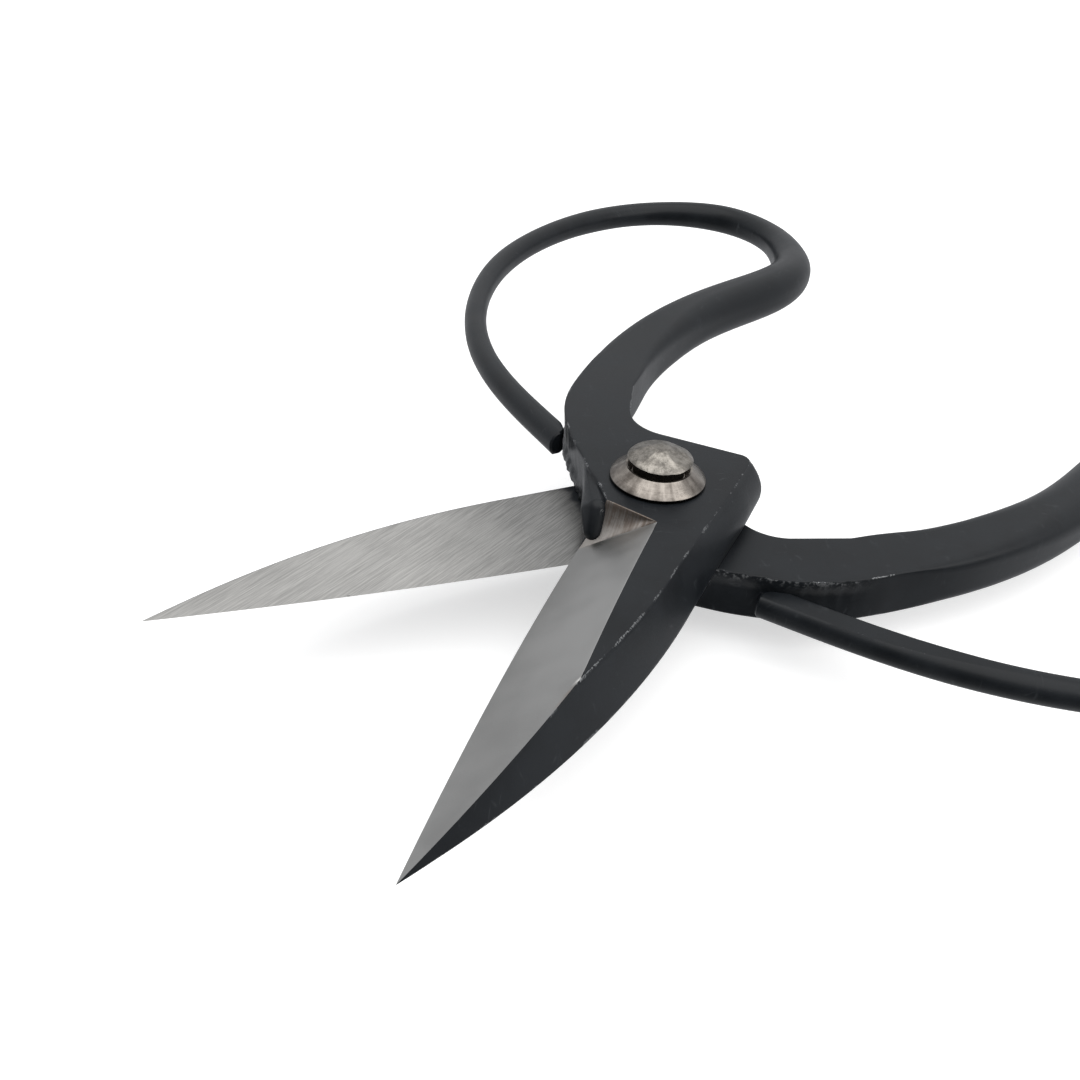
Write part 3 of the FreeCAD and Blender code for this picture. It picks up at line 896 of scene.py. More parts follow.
def sideColumn(low, lowZ, high, highZ, outLow, outHigh, roundLow, roundHigh, rubLow, rubHigh,
               swell, rows):
    # one column of points up a side, with its rounded edges and a margin on the flats
    low3 = np.array([low[0], low[1], lowZ])
    high3 = np.array([high[0], high[1], highZ])
    out3 = np.array([*(outLow + outHigh) / 2, 0.0])
    inLow = np.array([*-outLow, 0.0])
    inHigh = np.array([*-outHigh, 0.0])
    up = high3 - low3
    length = np.linalg.norm(up)
    tall = length > 1e-6
    up = up / length if tall else np.array([0, 0, 1.0])
    start = min(0.55, 0.2 * length) / length if tall else 0.2

    def rounded(corner, first, second, radius):
        radius = min(radius, 0.3 * length)
        found = []
        for t in (0, 0.33, 0.67, 1):
            a, b = corner + first * radius, corner + second * radius
            found.append(a * (1 - t) ** 2 + corner * 2 * t * (1 - t) + b * t * t)
        return found

    points = [low3 + inLow * (roundLow + rubLow)] + rounded(low3, inLow, up, roundLow)
    for t in np.linspace(start, 1 - start, rows):
        points.append(low3 + (high3 - low3) * t + out3 * swell * 4 * t * (1 - t))
    points += rounded(high3, -up, inHigh, roundHigh)
    points.append(high3 + inHigh * (roundHigh + rubHigh))
    return points


def backPairs(sizes, depth):
    # low and high points from the neck round the back and the head, with the side's swell
    offset, apex, draft = sizes["spineOffset"], sizes["spineApex"], sizes["sideDraft"]
    back, corner, front, swell = (sizes[key] for key in ("back", "corner", "headFront", "headSwell"))
    topBack = back + sizes["backLean"]
    sideLow, sideHigh = offset + sizes["headLow"], offset - draft + sizes["headHigh"]
    neckX, neckY, neckWidth = barStations[0][:3]
    notch = [(x, back + y) for x, y in sizes["notch"]]
    shared = straight((neckX + neckWidth / 2, neckY), notch[0], 10)[:-1] + arcPoints(*notch, 16)
    pairs = [(spot, spot, depth, 0.0) for spot in shared]

    def addRun(low, high, count, bulge):
        ends = zip(straight(*low, count)[1:], straight(*high, count)[1:])
        pairs.extend((a, b, depth, bulge(i)) for i, (a, b) in enumerate(ends))

    addRun((notch[-1], (sideLow - corner, back)), (notch[-1], (sideHigh - corner, topBack)), 12,
           lambda i: 0.0)
    for t in np.linspace(0, 1, 12)[1:]:
        turn = math.pi / 2 * (1 - t)
        pairs.append((onCircle((sideLow - corner, back - corner), corner, turn),
                      onCircle((sideHigh - corner, topBack - corner), corner, turn), depth,
                      swell * ease(t)))
    addRun(((sideLow, back - corner), (sideLow, front)),
           ((sideHigh, topBack - corner), (sideHigh, front)), 9, lambda i: swell)
    addRun(((sideLow, front), (offset, apex)), ((sideHigh, front), (offset - draft, apex)), 22,
           lambda i: swell * (1 - ease(i / 20)))
    return pairs[:-1], len(shared)


def scoopStrip(sizes, depth, border, corner):
    # the scoop rises from the bevel's last column to its own line on the flat
    ridgeEnd = np.array(border[-1][:2])
    skew = math.radians(sizes["scoopSkew"])
    wallOut = np.array([-math.sin(skew), -math.cos(skew)])
    strip = []
    for low in border[::-1]:
        share = low[2] / depth
        out = lerp(np.array([-0.6, -0.8]), wallOut, min(1.0, share * 12))
        out /= np.hypot(*out)
        fade = min(1.0, (1 - share) * 6)
        clear = min(1.0, share * 8)
        strip.append(sideColumn(
            low[:2], low[2], lerp(corner, ridgeEnd, share), depth, out, out, 0.0,
            lerp(0.012, 0.07, clear) * fade, 0.0, lerp(0.02, 0.2, clear) * fade,
            sizes["scoopHollow"] * fade, sizes["rows"]))
    return strip


def neckStrip(sizes, depth, scoopCorner):
    # the neck's outer side, with the ledge and the ragged flash the forging dies left
    rows, edgeRound, rubWidth = sizes["rows"], sizes["edgeRound"], sizes["rubWidth"]
    neckX, neckY, neckWidth = barStations[0][:3]
    neckEnd = (neckX - neckWidth / 2, neckY)
    lowLine = smoothLine([sizes["edgeRoot"], *sizes["neckLow"], neckEnd], sizes["neckColumns"])
    highLine = smoothLine([scoopCorner, *sizes["neckHigh"], neckEnd], sizes["neckColumns"])
    lowNormal, highNormal = outwardOf(lowLine), outwardOf(highLine)
    lowNormal[-1] = highNormal[-1] = (-1, 0)
    count = len(lowLine)
    strip = []
    for i in range(1, count):
        run = ease(i / 8) * (1 - ease((i - count + 12) / 10))
        lowLine[i] += lowNormal[i] * run * sizes["flashRagged"] * noise.noise(Vector((i * 0.73, 0.0, 8.0)))
        fade = min(1.0, i / 4)
        column = sideColumn(lowLine[i], 0.0, highLine[i], depth, lowNormal[i], highNormal[i],
                            edgeRound * fade, lerp(0.07, 0.22, fade), rubWidth * fade,
                            lerp(0.08, rubWidth, fade), 0.0, rows)
        step = sizes["ledge"] * ease(i / 8) * (1 - ease((i - count + 14) / 12))
        inward = np.array([*-(lowNormal[i] + highNormal[i]) / 2, 0.0])
        ragged = 1 + 0.4 * noise.noise(Vector((i * 0.9, 0.0, 4.0)))
        above, below = 5 + int(rows * sizes["flashShare"]), len(column) - 5
        for k in range(above, below):
            column[k] = column[k] + inward * step * ragged * (below - k) / (below - above)
        strip.append(column)
    return strip


def slabStrips(sizes, depth):
    # four strips of columns round the slab, in order: back and spine, bevel, scoop, neck
    spine, bevel, ridgeTop = bladeLines(sizes, depth)
    pairs, shared = backPairs(sizes, depth)
    pairs += [(a, b, z, 0.0) for a, b, z in spine]
    rows, edgeRound, rubWidth = sizes["rows"], sizes["edgeRound"], sizes["rubWidth"]
    cutLine = np.array([b[0] for b in bevel])
    ridgeLine = np.array([b[1] for b in bevel])
    spineLow = np.array([p[0] for p in pairs])
    spineTop = np.array([p[1] for p in pairs if p[2] == depth and p[1][0] > 0 and p[1][1] < 9])

    def flatWidth(spot, height):
        # the outer face's width beside a place, none where the ridge has run out
        if height != depth:
            return 0.0
        y = spot[1]
        return max(atHeightOf(spineTop, y) - atHeightOf(ridgeLine, y), 0.0) if y < -9 else 9.0

    lowNormal = outwardOf(spineLow)
    highNormal = outwardOf([p[1] for p in pairs])
    highNormal[:shared] = lowNormal[:shared]
    first = []
    for i, (low, high, z, swell) in enumerate(pairs):
        under, flat = nearestTo(cutLine, low), flatWidth(high, z)
        first.append(sideColumn(
            low, 0.0, high, z, lowNormal[i], highNormal[i], min(edgeRound, 0.05 * under),
            min(edgeRound, 0.10 * flat), min(rubWidth, 0.2 * under), min(rubWidth, 0.22 * flat),
            swell, rows))
    lowNormal, highNormal = outwardOf(cutLine), outwardOf(ridgeLine)
    second = []
    for i, (low, high, z) in enumerate(bevel):
        under, flat = nearestTo(spineLow, low), flatWidth(high, z)
        fade = min(1.0, (len(bevel) - 1 - i) / 3)
        second.append(sideColumn(
            low, 0.0, high, z, lowNormal[i], highNormal[i], 0.0, min(0.05, 0.08 * flat) * fade,
            min(rubWidth, 0.2 * under) * fade, min(rubWidth, 0.22 * flat) * fade, 0.0, rows))
    scoopCorner = np.array(sizes["edgeRoot"]) + (sizes["scoopStart"], sizes["scoopRun"])
    third = scoopStrip(sizes, depth, second[-1], scoopCorner)
    fourth = [third[-1]] + neckStrip(sizes, depth, scoopCorner)
    return first, second, third, fourth, ridgeTop


def roundedOutline(share, width, depth, radius):
    # point at a share of the way round a rounded rectangle, and how far into a corner it is
    w, d = width - 2 * radius, depth - 2 * radius
    quarter = math.pi / 2 * radius
    s = (share % 1.0) * (2 * w + 2 * d + 4 * quarter)
    hubs = ((w / 2, -d / 2, -90), (w / 2, d / 2, 0), (-w / 2, d / 2, 90), (-w / 2, -d / 2, 180))
    runs = ((0, 1, d), (-1, 0, w), (0, -1, d), (1, 0, w))
    for (hubU, hubV, start), (alongU, alongV, run) in zip(hubs, runs):
        if s <= quarter:
            u, v = onCircle((hubU, hubV), radius, math.radians(start + 90 * s / quarter))
            return u, v, 1 - abs(2 * s / quarter - 1) * 0.4
        s -= quarter
        if s <= run:
            u, v = onCircle((hubU, hubV), radius, math.radians(start + 90))
            return u + alongU * s, v + alongV * s, 0.0
        s -= run
    return w / 2, -depth / 2, 0.0


def barRings(sizes, firstRing, firstRub):
    # rings of points from the neck round the loop to the cut tail
    stations = np.array(barStations)
    lead = stations[0] + (stations[0] - stations[1]) * np.array([0.0, 1, 0, 0, 0, 0])
    line = smoothLine(np.vstack([lead, stations]), sizes["fineSteps"])
    firstHalf = line[:sizes["fineSteps"] // 2, 1]
    line = line[np.argmin(np.abs(firstHalf - stations[0][1])):]
    line = line[np.linspace(0, len(line) - 1, sizes["rings"]).astype(int)]
    ring0 = np.array(firstRing)
    steps = np.linalg.norm(np.roll(ring0, -1, 0) - ring0, axis=1)
    start = -np.linalg.norm(ring0[1] - ring0[0]) / steps.sum()
    fixedShare = np.concatenate([[0], np.cumsum(steps)[:-1]]) / steps.sum() + start
    evenShare = np.arange(len(ring0)) / len(ring0) + start
    ahead = np.gradient(line[:, :2], axis=0)
    ahead /= np.hypot(ahead[:, 0], ahead[:, 1])[:, None]
    rings, rubs = [ring0], [np.array(firstRub)]
    walked = 0.0
    for i in range(1, len(line)):
        x, y, width, depth, height, roundness = line[i]
        walked += math.hypot(*(line[i, :2] - line[i - 1, :2]))
        settle = ease(walked / sizes["settleRun"])
        aim = lerp(np.array([0.0, 1.0]), ahead[i], ease(walked / sizes["turnRun"]))
        aim /= np.hypot(*aim)
        right = np.array([aim[1], -aim[0]])
        wide, deep = (noise.noise(Vector((x * scale, y * scale, seed))) for scale, seed in sizes["waves"])
        width += (sizes["waviness"] * wide - sizes["trim"]) * settle
        depth += (sizes["waviness"] * deep - sizes["trim"]) * settle
        radius = lerp(sizes["firstRound"], max(roundness, 0.05) * min(width, depth) / 2,
                      ease(walked / sizes["roundRun"]))
        corners = max(0.0, 1 - roundness / 0.8)
        ring, rub = [], []
        for a, b in zip(fixedShare, evenShare):
            u, v, inCorner = roundedOutline(lerp(a, b, settle), width, depth, radius)
            ring.append((x + right[0] * u, y + right[1] * u, height + v))
            rub.append(inCorner * max(0.0, corners - 0.3))
        rings.append(np.array(ring))
        rubs.append(np.array(rub))
    return np.array(rings), np.array(rubs)


def tailPlanes(sizes):
    # the tail ends on three planes: along the neck, square across, and one that blunts their corner
    along, square = np.array(sizes["cutNormal"]), np.array(sizes["endNormal"])
    between = along + square
    length = np.hypot(*between)
    alongAt = np.dot(sizes["cutPoint"], along) + sizes["tailGap"]
    squareAt = np.dot(sizes["endPoint"], square)
    normals = np.array([[*along, 0.0], [*square, 0.0], [*(between / length), 0.0]])
    return normals, np.array([alongAt, squareAt, (alongAt + squareAt) / length + sizes["bluntNose"]])


def cutTail(rings, sizes):
    # the tail is cut parallel to the neck and ground flat on its mating side
    normals, places = tailPlanes(sizes)
    n, span = len(rings), sizes["tailRings"]
    centres = rings.mean(axis=1)
    beyond = (centres @ normals.T - places).min(axis=1) < 0
    walked = np.concatenate([[0], np.cumsum(np.linalg.norm(np.diff(centres, axis=0), axis=1))])
    cutAt = np.argmax(beyond & (np.arange(n) > n * 0.8))
    anchor = np.searchsorted(walked, walked[cutAt] - sizes["tailStretch"])
    tail = np.zeros((span + 1, rings.shape[1], 3))
    for j in range(rings.shape[1]):
        side = (rings[anchor:, j] @ normals.T - places).min(axis=1)
        k = np.argmax(side < 0)
        k = k if side[k] < 0 else len(side) - 1
        exact = anchor + k - 1 + side[k - 1] / (side[k - 1] - side[k])
        for m in range(span + 1):
            at = lerp(anchor, exact, m / span)
            low = min(int(at), n - 2)
            tail[m, j] = lerp(rings[low, j], rings[low + 1, j], at - low)
    body = np.concatenate([rings[:anchor], tail])
    steps = np.linalg.norm(np.diff(body.mean(axis=1), axis=0), axis=1)
    left = np.concatenate([np.cumsum(steps[::-1])[::-1], [0]])
    worn = np.zeros(body.shape[:2])
    for i, remaining in enumerate(left):
        fade = 1 - remaining / sizes["tailRun"]
        if fade > 0:
            flat = body[i, :, 2].min() + sizes["tailFacet"] * ease(fade * 1.6)
            ground = body[i, :, 2] < flat
            worn[i, ground & ~(np.roll(ground, 1) & np.roll(ground, -1))] = 0.7 * ease(fade * 3)
            body[i, :, 2] = np.maximum(body[i, :, 2], flat)
    # rings that close the end, each pushed out onto the planes
    last = body[-1]
    middle = last.mean(axis=0)
    ahead = -normals[1]
    caps = []
    for share in sizes["capShares"]:
        ring = lerp(last, middle, share)
        push = ((ring @ normals.T - places) / -(normals @ ahead)).min(axis=1)
        caps.append(ring + ahead * push[:, None])
    body[-1] = last - ahead * sizes["noseBreak"]
    return body, caps, worn


def isInside(spot, outline):
    # whether a place seen from above lies inside a closed outline
    line = np.array(outline)
    ahead = np.roll(line, -1, 0)
    spans = (line[:, 1] > spot[1]) != (ahead[:, 1] > spot[1])
    with np.errstate(divide="ignore", invalid="ignore"):
        at = line[:, 0] + (spot[1] - line[:, 1]) / (ahead[:, 1] - line[:, 1]) * (ahead[:, 0] - line[:, 0])
    return bool(np.count_nonzero(spans & (at > spot[0])) % 2)


def forgedSkin(sizes, bar, depth):
    # the whole half as one closed skin, in its own millimetres
    bm = bmesh.new()
    rubLayer, heatLayer, skinLayer = (
        bm.verts.layers.float.new(name) for name in ("edgeRub", "heatTint", "forgeSkin"))
    first, second, third, fourth, ridgeTop = slabStrips(sizes, depth)
    roundedRub = [0.0, 0.8, 1, 1, 0.8, 0.0]
    rowRub = roundedRub + [0.0] * (sizes["rows"] - 2) + roundedRub
    count = len(rowRub)
    flashRows = sizes["rows"] * sizes["flashShare"]

    def addPoint(point, rub=0.0, heat=0.0, skin=0.0):
        vert = bm.verts.new(point)
        vert[rubLayer] = rub
        vert[heatLayer] = heat
        vert[skinLayer] = skin
        return vert

    def addFace(verts, material):
        verts = [v for i, v in enumerate(verts) if (v.co - verts[i - 1].co).length > 1e-7]
        if len(verts) > 2:
            face = bm.faces.new(verts)
            face.material_index = material
            face.smooth = True

    def addRing(a, b):
        for j in range(len(a)):
            k = (j + 1) % len(a)
            addFace([a[j], a[k], b[k], b[j]], 0)

    def addStrip(columns, sideMaterial, rubShare, heated=False, rough=False):
        made = []
        for i, column in enumerate(columns):
            verts = []
            for k, point in enumerate(column):
                near = 1 - min(1.0, math.dist(point[:2], ridgeTop) / sizes["rubReach"])
                heat = skin = 0.0
                if heated:
                    past = point[1] - ridgeTop[1]
                    heat = math.exp(-((past + sizes["heatAt"]) / sizes["heatSpread"]) ** 2)
                    heat *= max(0.0, (k / count - sizes["heatFrom"]) / (1 - sizes["heatFrom"]))
                if rough and 3 < k < 6 + flashRows:
                    skin = ease(i / 6) * (1 - ease((i - len(columns) + 8) / 8))
                    skin *= 1.15 - (k - 3) / (3 + flashRows)
                verts.append(addPoint(point, rowRub[k] * rubShare * (1 + near), heat, skin))
            made.append(verts)
        materials = [3] + [sideMaterial] * (count - 3) + [0]
        for a, b in zip(made, made[1:]):
            for k, material in enumerate(materials):
                addFace([a[k], b[k], b[k + 1], a[k + 1]], material)

    addStrip(first, 0, 1.0)
    addStrip(second, 1, 0.5, heated=True)
    addStrip(third, 2, 0.4)
    addStrip(fourth, 0, 0.9, rough=True)

    # the first ring of the bar goes up the neck's inner side, across, down and back
    inner, outer = first[0], fourth[-1]
    across = bar["across"]
    topRow = straight(inner[-1], outer[-1], across)[1:-1]
    lowRow = straight(outer[0], inner[0], across)[1:-1]
    ring0 = list(inner) + topRow + list(outer[::-1]) + lowRow
    rub0 = (rowRub + [0.0] * (across - 2)) * 2
    rings, rubs = barRings(bar, ring0, rub0)
    rings, caps, worn = cutTail(rings, bar)
    made = []
    for i, ring in enumerate(rings):
        rub = rubs[min(i, len(rubs) - 1)]
        made.append([addPoint(p, max(rub[j], worn[i, j])) for j, p in enumerate(ring)])
    for a, b in zip(made, made[1:]):
        addRing(a, b)
    for vert in made[-1]:
        vert[rubLayer] = 0.7
    made = [made[-1]] + [[addPoint(p) for p in cap] for cap in caps]
    hub = addPoint(caps[-1].mean(axis=0))
    for a, b in zip(made, made[1:]):
        addRing(a, b)
    for j, vert in enumerate(made[-1]):
        addFace([vert, made[-1][(j + 1) % len(made[-1])], hub], 0)

    # flats with the bore through them
    firstTop = [c[-1] for c in first if math.dist(c[-1][:2], ridgeTop) > 1e-6 and c[-1][2] > depth - 1e-6]
    secondTop = [c[-1] for c in second if c[-1][2] > depth - 1e-6]
    top = firstTop + secondTop + [c[-1] for c in third + fourth] + topRow[::-1]
    low = [c[0] for c in first + second + fourth[1:]] + lowRow
    segments = sizes["boreSegments"]
    bore = [onCircle((0, 0), sizes["bore"], math.tau * k / segments) for k in range(segments)]
    for loop, height, material in ((top, depth, 0), (low, 0.0, 3)):
        outline = []
        for point in loop:
            if not outline or math.dist(point[:2], outline[-1]) > 1e-5:
                outline.append(tuple(point[:2]))
        if math.dist(outline[0], outline[-1]) < 1e-5:
            outline.pop()
        n = len(outline)
        spots = [Vector(p) for p in outline + bore]
        edges = [(i, (i + 1) % n) for i in range(n)]
        edges += [(n + i, n + (i + 1) % segments) for i in range(segments)]
        found, _, faces, *_ = delaunay_2d_cdt(spots, edges, [], 0, 1e-6, False)
        verts = [addPoint((p.x, p.y, height)) for p in found]
        for face in faces:
            centre = sum((found[k] for k in face), Vector((0, 0))) / len(face)
            if isInside(centre, outline) and not isInside(centre, bore):
                addFace([verts[k] for k in face], material)
    low = [addPoint((*p, 0.0)) for p in bore]
    high = [addPoint((*p, depth)) for p in bore]
    for k in range(segments):
        n = (k + 1) % segments
        addFace([low[k], low[n], high[n], high[k]], 1)
    bmesh.ops.remove_doubles(bm, verts=bm.verts, dist=sizes["weld"])
    bmesh.ops.dissolve_degenerate(bm, edges=bm.edges, dist=1e-4)
    bmesh.ops.recalc_face_normals(bm, faces=bm.faces)
    print("half skin:", len(bm.faces), "faces,", openEdges(bm), "open edges")
    return meshFrom(bm, "halfSkin")


tongueSizes = {
    # the lump is the hull of these balls: centre and radius, from the tip up into the neck
    "balls": [((-4.55, -9.0, 2.2), 1.3), ((-4.8, -7.9, 4.75), 1.3), ((-5.6, -7.7, 4.1), 1.25),
              ((-8.3, -0.35, 3.1), 1.3), ((-8.85, -0.6, 4.9), 0.7), ((-8.95, -0.6, 1.4), 0.6)],
    "ballRows": 16,
    "ballSegments": 28,
    "softLow": (-11.5, -8.2, 0.5),
    "softHigh": (-4.4, 2.5, 5.9),
    "softFade": 1.2,
    "softRounds": 24,
}


def tongueMesh(sizes):
    # rounded lip where the neck's outer side runs out beside the scoop
    bm = bmesh.new()
    for (x, y, z), radius in sizes["balls"]:
        for a in range(1, sizes["ballRows"]):
            tilt = math.pi * a / sizes["ballRows"]
            for b in range(sizes["ballSegments"]):
                turn = math.tau * b / sizes["ballSegments"]
                bm.verts.new((x + radius * math.sin(tilt) * math.cos(turn),
                              y + radius * math.sin(tilt) * math.sin(turn),
                              z + radius * math.cos(tilt)))
    bmesh.ops.convex_hull(bm, input=bm.verts)
    bmesh.ops.delete(bm, geom=[v for v in bm.verts if not v.link_faces], context="VERTS")
    bmesh.ops.recalc_face_normals(bm, faces=bm.faces)
    for face in bm.faces:
        face.smooth = True
    return meshFrom(bm, "tongue")


def joined(skin, lump):
    body = linkObject("halfBlank", skin)
    extra = linkObject("tongueBlank", lump)
    union = body.modifiers.new("join", "BOOLEAN")
    union.operation = "UNION"
    union.solver = "EXACT"
    union.object = extra
    mesh = bakeModifiers(body)
    bpy.data.objects.remove(body)
    bpy.data.objects.remove(extra)
    return mesh


def softened(mesh, sizes):
    # works the tongue into the neck's side, and leaves the forge skin rough there
    bm = bmesh.new()
    bm.from_mesh(mesh)
    skinLayer = bm.verts.layers.float["forgeSkin"]
    low, high = Vector(sizes["softLow"]), Vector(sizes["softHigh"])
    share = {}
    for vert in bm.verts:
        inset = min(min(c - a, b - c) for a, c, b in zip(low, vert.co, high))
        if inset > 0 and all(face.material_index == 0 for face in vert.link_faces):
            share[vert] = min(1.0, inset / sizes["softFade"])
            vert[skinLayer] = max(vert[skinLayer], 0.5 * share[vert])
    for _ in range(sizes["softRounds"]):
        aims = {}
        for vert in share:
            near = [edge.other_vert(vert).co for edge in vert.link_edges]
            aims[vert] = vert.co.lerp(sum(near, Vector()) / len(near), 0.5 * share[vert])
        for vert, aim in aims.items():
            vert.co = aim
    bm.to_mesh(mesh)
    bm.free()
    return mesh


def placeHalf(name, source, turnedOver, body, node):
    # one half in its place: the lower one is the same forging turned over
    angle = math.radians(openingAngle / 2) * (-1 if turnedOver else 1)
    spin = Matrix.Rotation(angle, 4, "Z")
    if turnedOver:
        spin = spin @ Matrix.Diagonal((-1, 1, -1, 1))
    height = pivotHeight - (runningGap * 0.001 if turnedOver else 0)
    mesh = source.copy()
    mesh.name = name
    spots = np.zeros(len(mesh.vertices) * 3, dtype=np.float32)
    mesh.vertices.foreach_get("co", spots)
    marks = mesh.attributes.new("forgePlace", "FLOAT_VECTOR", "POINT")
    marks.data.foreach_set("vector", spots)
    mesh.transform(Matrix.Translation((0, 0, height)) @ Matrix.Scale(0.001, 4) @ spin)
    for metal in (black, bevelMetal, scoopMetal, matingMetal):
        mesh.materials.append(metal)
    mesh.set_sharp_from_angle(angle=math.radians(halfSizes["sharpAngle"]))
    half = linkObject(name, mesh)
    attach(half, body)
    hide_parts(node)


skin = forgedSkin(halfSizes, barSizes, slabDepth)
blank = softened(joined(skin, tongueMesh(tongueSizes)), tongueSizes)
placeHalf("upperForging", blank, False, "upper_side", "upper_half")
placeHalf("lowerForging", blank, True, "lower_side", "lower_half")
print("both halves placed,", len(blank.polygons), "faces each")

# cup washers: one Geometry Nodes lathe, used for both

washerSizes = {
    "Outer Radius": 6.0,
    "Land Height": 0.35,
    "Rim Radius": 4.15,
    "Height": 1.85,
    "Cup Radius": 3.85,
    "Cup Floor Radius": 3.35,
    "Cup Floor": 0.75,
    "Bore Radius": 2.5,
    "Edge Break": 0.06,
}
washerSharpAngle = 32


def washerTree(sizes, metal):
    tree = bpy.data.node_groups.new("turnedWasher", "GeometryNodeTree")
    tree.interface.new_socket(name="Geometry", in_out="INPUT", socket_type="NodeSocketGeometry")
    sockets = [(label, "NodeSocketFloat", value * 0.001) for label, value in sizes.items()]
    sockets += [("Foot", "NodeSocketFloat", 0.0), ("Upward", "NodeSocketFloat", 1.0),
                ("Segments", "NodeSocketInt", 144)]
    for label, kind, value in sockets:
        socket = tree.interface.new_socket(name=label, in_out="INPUT", socket_type=kind)
        socket.default_value = value
    tree.interface.new_socket(name="Geometry", in_out="OUTPUT", socket_type="NodeSocketGeometry")
    add = nodeAdder(tree)
    given = add("NodeGroupInput").outputs
    sink = add("NodeGroupOutput")

    def plus(a, b):
        return number(add, "ADD", a, b)

    def minus(a, b):
        return number(add, "SUBTRACT", a, b)

    def between(first, second, share):
        return weighed(add, (first, 1 - share), (second, share))

    outer, land, rim, height, cup, floorRadius, floor, bore, chip = (given[label] for label in sizes)
    coneFoot, coneTop = minus(outer, chip), plus(rim, chip)
    landTop, rimLow = plus(land, chip), minus(height, chip)
    profile = [  # radius and height, once round the section
        (bore, 0.0), (coneFoot, 0.0), (outer, chip), (outer, minus(land, chip)),
        (coneFoot, landTop),
        (between(coneFoot, coneTop, 0.33), between(landTop, rimLow, 0.33)),
        (between(coneFoot, coneTop, 0.67), between(landTop, rimLow, 0.67)),
        (coneTop, rimLow), (rim, height), (plus(cup, chip), height), (cup, rimLow),
        (between(cup, floorRadius, 0.5), between(rimLow, floor, 0.5)),
        (floorRadius, plus(floor, chip)), (minus(floorRadius, chip), floor), (bore, floor),
        (bore, 0.0),
    ]
    count = len(profile)
    columns = plus(given["Segments"], 1)
    grid = add("GeometryNodeMeshGrid", {"Vertices X": columns, "Vertices Y": count})
    index = add("GeometryNodeInputIndex").outputs[0]
    step = number(add, "MODULO", index, count)
    column = number(add, "FLOOR", number(add, "DIVIDE", index, count))
    turn = times(add, number(add, "DIVIDE", column, given["Segments"]), math.tau)
    picked = []
    for part in range(2):
        switch = add("GeometryNodeIndexSwitch", data_type="FLOAT")
        while len(switch.index_switch_items) < count:
            switch.index_switch_items.new()
        feed(switch, {0: step})
        feed(switch, {k + 1: spot[part] for k, spot in enumerate(profile)})
        picked.append(switch.outputs[0])
    radius, lift = picked
    x = times(add, radius, number(add, "COSINE", turn))
    y = times(add, radius, number(add, "SINE", turn))
    z = plus(given["Foot"], times(add, lift, given["Upward"]))
    spot = add("ShaderNodeCombineXYZ", {0: x, 1: y, 2: z})
    moved = add("GeometryNodeSetPosition", {"Geometry": grid.outputs["Mesh"], "Position": spot.outputs[0]})
    closed = add("GeometryNodeMergeByDistance", {"Geometry": moved.outputs[0], "Distance": 1e-6})
    real = add("GeometryNodeRealizeInstances", {"Geometry": closed.outputs[0]})
    finish = add("GeometryNodeSetMaterial", {"Geometry": real.outputs[0], "Material": metal})
    feed(sink, {0: finish.outputs[0]})
    return tree


def socketName(tree, label):
    return next(s.identifier for s in tree.interface.items_tree
                if s.in_out == "INPUT" and s.name == label)


def cupWasher(name, tree, foot, upward, body, node):
    holder = linkObject(name, bpy.data.meshes.new(name))
    lathe = holder.modifiers.new("lathe", "NODES")
    lathe.node_group = tree
    lathe[socketName(tree, "Foot")] = foot
    lathe[socketName(tree, "Upward")] = upward
    mesh = bakeModifiers(holder)
    bm = bmesh.new()
    bm.from_mesh(mesh)
    bmesh.ops.recalc_face_normals(bm, faces=bm.faces)
    for face in bm.faces:
        face.smooth = True
    print(name, len(bm.faces), "faces,", openEdges(bm), "open edges")
    bm.to_mesh(mesh)
    bm.free()
    mesh.set_sharp_from_angle(angle=math.radians(washerSharpAngle))
    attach(holder, body)
    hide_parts(node)


lathe = washerTree(washerSizes, washerMetal)
cupWasher("upperWasher", lathe, upperWasherFoot, 1.0, "lower_side", "upper_cup_washer")
cupWasher("lowerWasher", lathe, lowerWasherFoot, -1.0, "lower_side", "lower_cup_washer")


# the peened rivet

rivetSizes = {
    "shaft": 2.5,
    "collar": 3.2,
    "crown": 4.1,
    "crownEdge": 0.2,
    "crownRise": 1.35,
    "ragged": 0.02,              # share of the crown's radius
    "lipFrom": 0.94,             # share of the radius where the crown turns down, and by how much
    "lipDrop": 0.10,
    "segments": 160,
    # direction, steepness and depth of each hammer facet
    "facets": [(-53, 25, 0.22), (15, 22, 0.14), (-120, 21, 0.15), (95, 24, 0.16), (160, 20, 0.10),
               (-165, 26, 0.14), (-15, 31, 0.05), (55, 17, 0.06)],
    "facetBlend": 0.022,
    "lumps": 0.03,
    "grain": 0.012,
    "sharpAngle": 50,
}


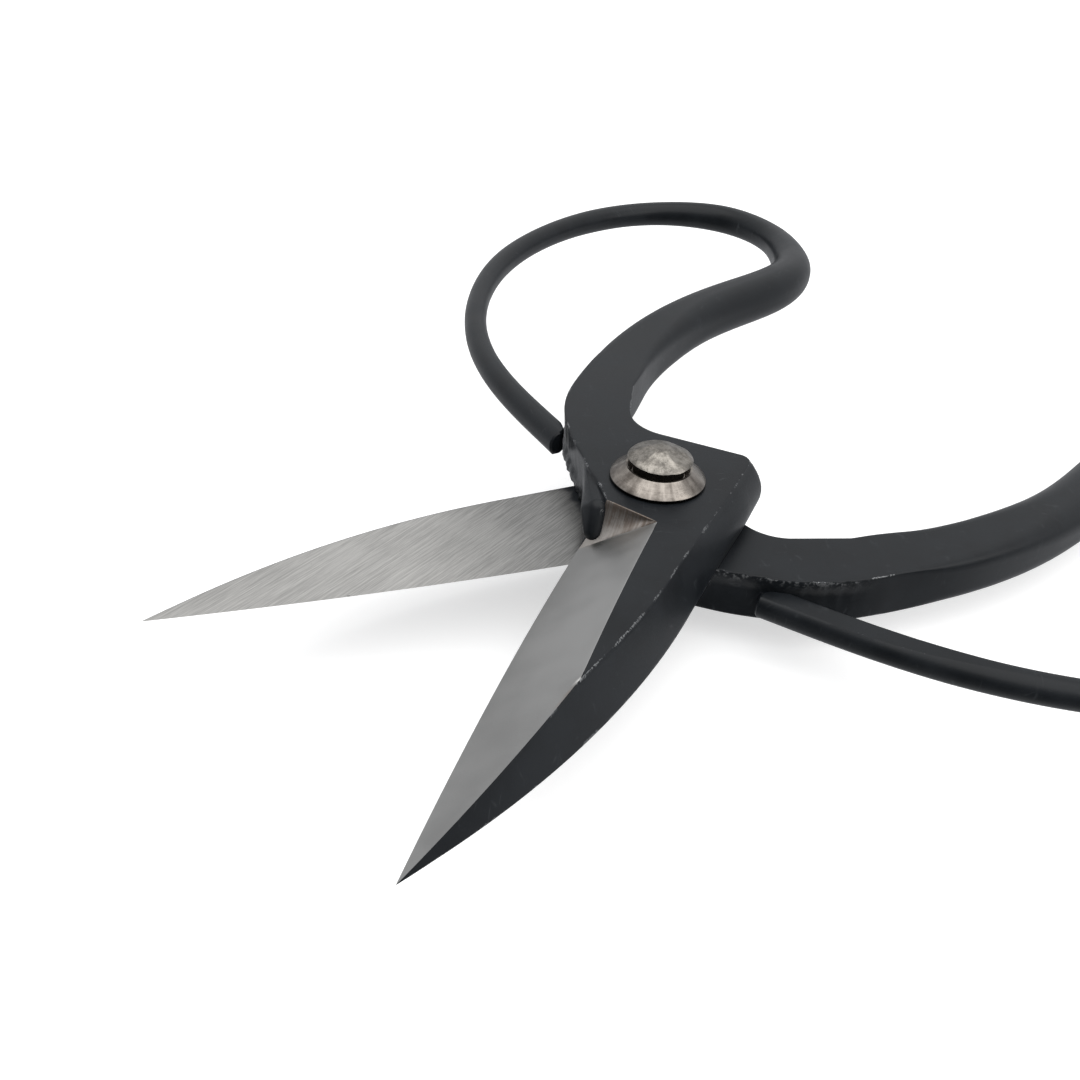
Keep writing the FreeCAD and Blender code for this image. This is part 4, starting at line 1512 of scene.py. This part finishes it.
def peenedRivet(sizes, metal):
    low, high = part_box("pivot_rivet")
    middle = (low.z + high.z) * 500
    top = (high.z - low.z) * 500
    cupFloor = (upperWasherFoot * 1000 - middle) + washerSizes["Cup Floor"]
    edgeLow = top - sizes["crownRise"] - sizes["crownEdge"]
    crown, collar, lumpy = sizes["crown"], sizes["collar"], sizes["lumps"]
    domeRadius = crown ** 2 / (2 * sizes["crownRise"])
    turns = [math.tau * k / sizes["segments"] for k in range(sizes["segments"])]

    def crownHeight(x, y, seed):
        r = math.hypot(x, y)
        height = top + lumpy - r * r / (2 * domeRadius)
        cuts = [(0.0, 0.0, top - 0.01)]
        for direction, steepness, depth in sizes["facets"]:
            aim = math.radians(direction + seed * 37)
            slope = math.tan(math.radians(steepness))
            touch = domeRadius * slope
            peak = top - touch * touch / (2 * domeRadius) - depth + slope * touch
            cuts.append((math.cos(aim) * slope, math.sin(aim) * slope, peak))
        blend = sizes["facetBlend"]
        for sx, sy, peak in cuts:
            plane = peak - sx * x - sy * y
            mix = max(0.0, min(1.0, 0.5 + 0.5 * (plane - height) / blend))
            height = plane * (1 - mix) + height * mix - blend * mix * (1 - mix)
        lumps = noise.noise(Vector((x * 1.1, y * 1.1, seed * 7.0))) * lumpy
        lumps += noise.noise(Vector((x * 3.4, y * 3.4, seed * 5.0 + 2))) * sizes["grain"]
        return height + lumps * (1 - 0.4 * r / crown) - lumpy

    def headRows(seed):
        rows = []
        for share in [0.0] + list(np.linspace(0.03, 1, 40)):
            lip = max(0.0, (share - sizes["lipFrom"]) / (1 - sizes["lipFrom"]))
            row = []
            for turn in turns:
                wander = noise.noise(Vector((math.cos(turn) * 1.7, math.sin(turn) * 1.7, seed)))
                r = crown * share * (1 - sizes["ragged"] * (0.5 + wander))
                x, y = r * math.cos(turn), r * math.sin(turn)
                z = crownHeight(x, y, seed) - sizes["lipDrop"] * lip ** 2
                row.append((x, y, min(z, top)))
            rows.append(row)
        for radius, z in ((crown * 0.972, edgeLow + 0.02), (crown * 0.93, edgeLow),
                          (collar + 0.08, edgeLow), (collar, edgeLow - 0.08),
                          (collar, cupFloor), (sizes["shaft"], cupFloor), (sizes["shaft"], 0.0)):
            rows.append([(radius * math.cos(turn), radius * math.sin(turn), z) for turn in turns])
        return rows

    upper = headRows(0)
    lower = [[(x, y, -z) for x, y, z in row] for row in headRows(1)[:-1]]
    bm = bmesh.new()
    made = [[bm.verts.new((x * 0.001, y * 0.001, (z + middle) * 0.001)) for x, y, z in row]
            for row in upper + lower[::-1]]
    for a, b in zip(made, made[1:]):
        for k in range(len(a)):
            n = (k + 1) % len(a)
            face = bm.faces.new([a[k], a[n], b[n], b[k]])
            face.smooth = True
    bmesh.ops.remove_doubles(bm, verts=bm.verts, dist=2e-7)
    bmesh.ops.dissolve_degenerate(bm, edges=bm.edges, dist=1e-8)
    bmesh.ops.recalc_face_normals(bm, faces=bm.faces)
    print("rivet", len(bm.faces), "faces,", openEdges(bm), "open edges")
    mesh = meshFrom(bm, "peenedRivet")
    mesh.materials.append(metal)
    mesh.set_sharp_from_angle(angle=math.radians(sizes["sharpAngle"]))
    rivet = linkObject("peenedRivet", mesh)
    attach(rivet, "lower_side")
    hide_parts("pivot_rivet")


peenedRivet(rivetSizes, rivetMetal)
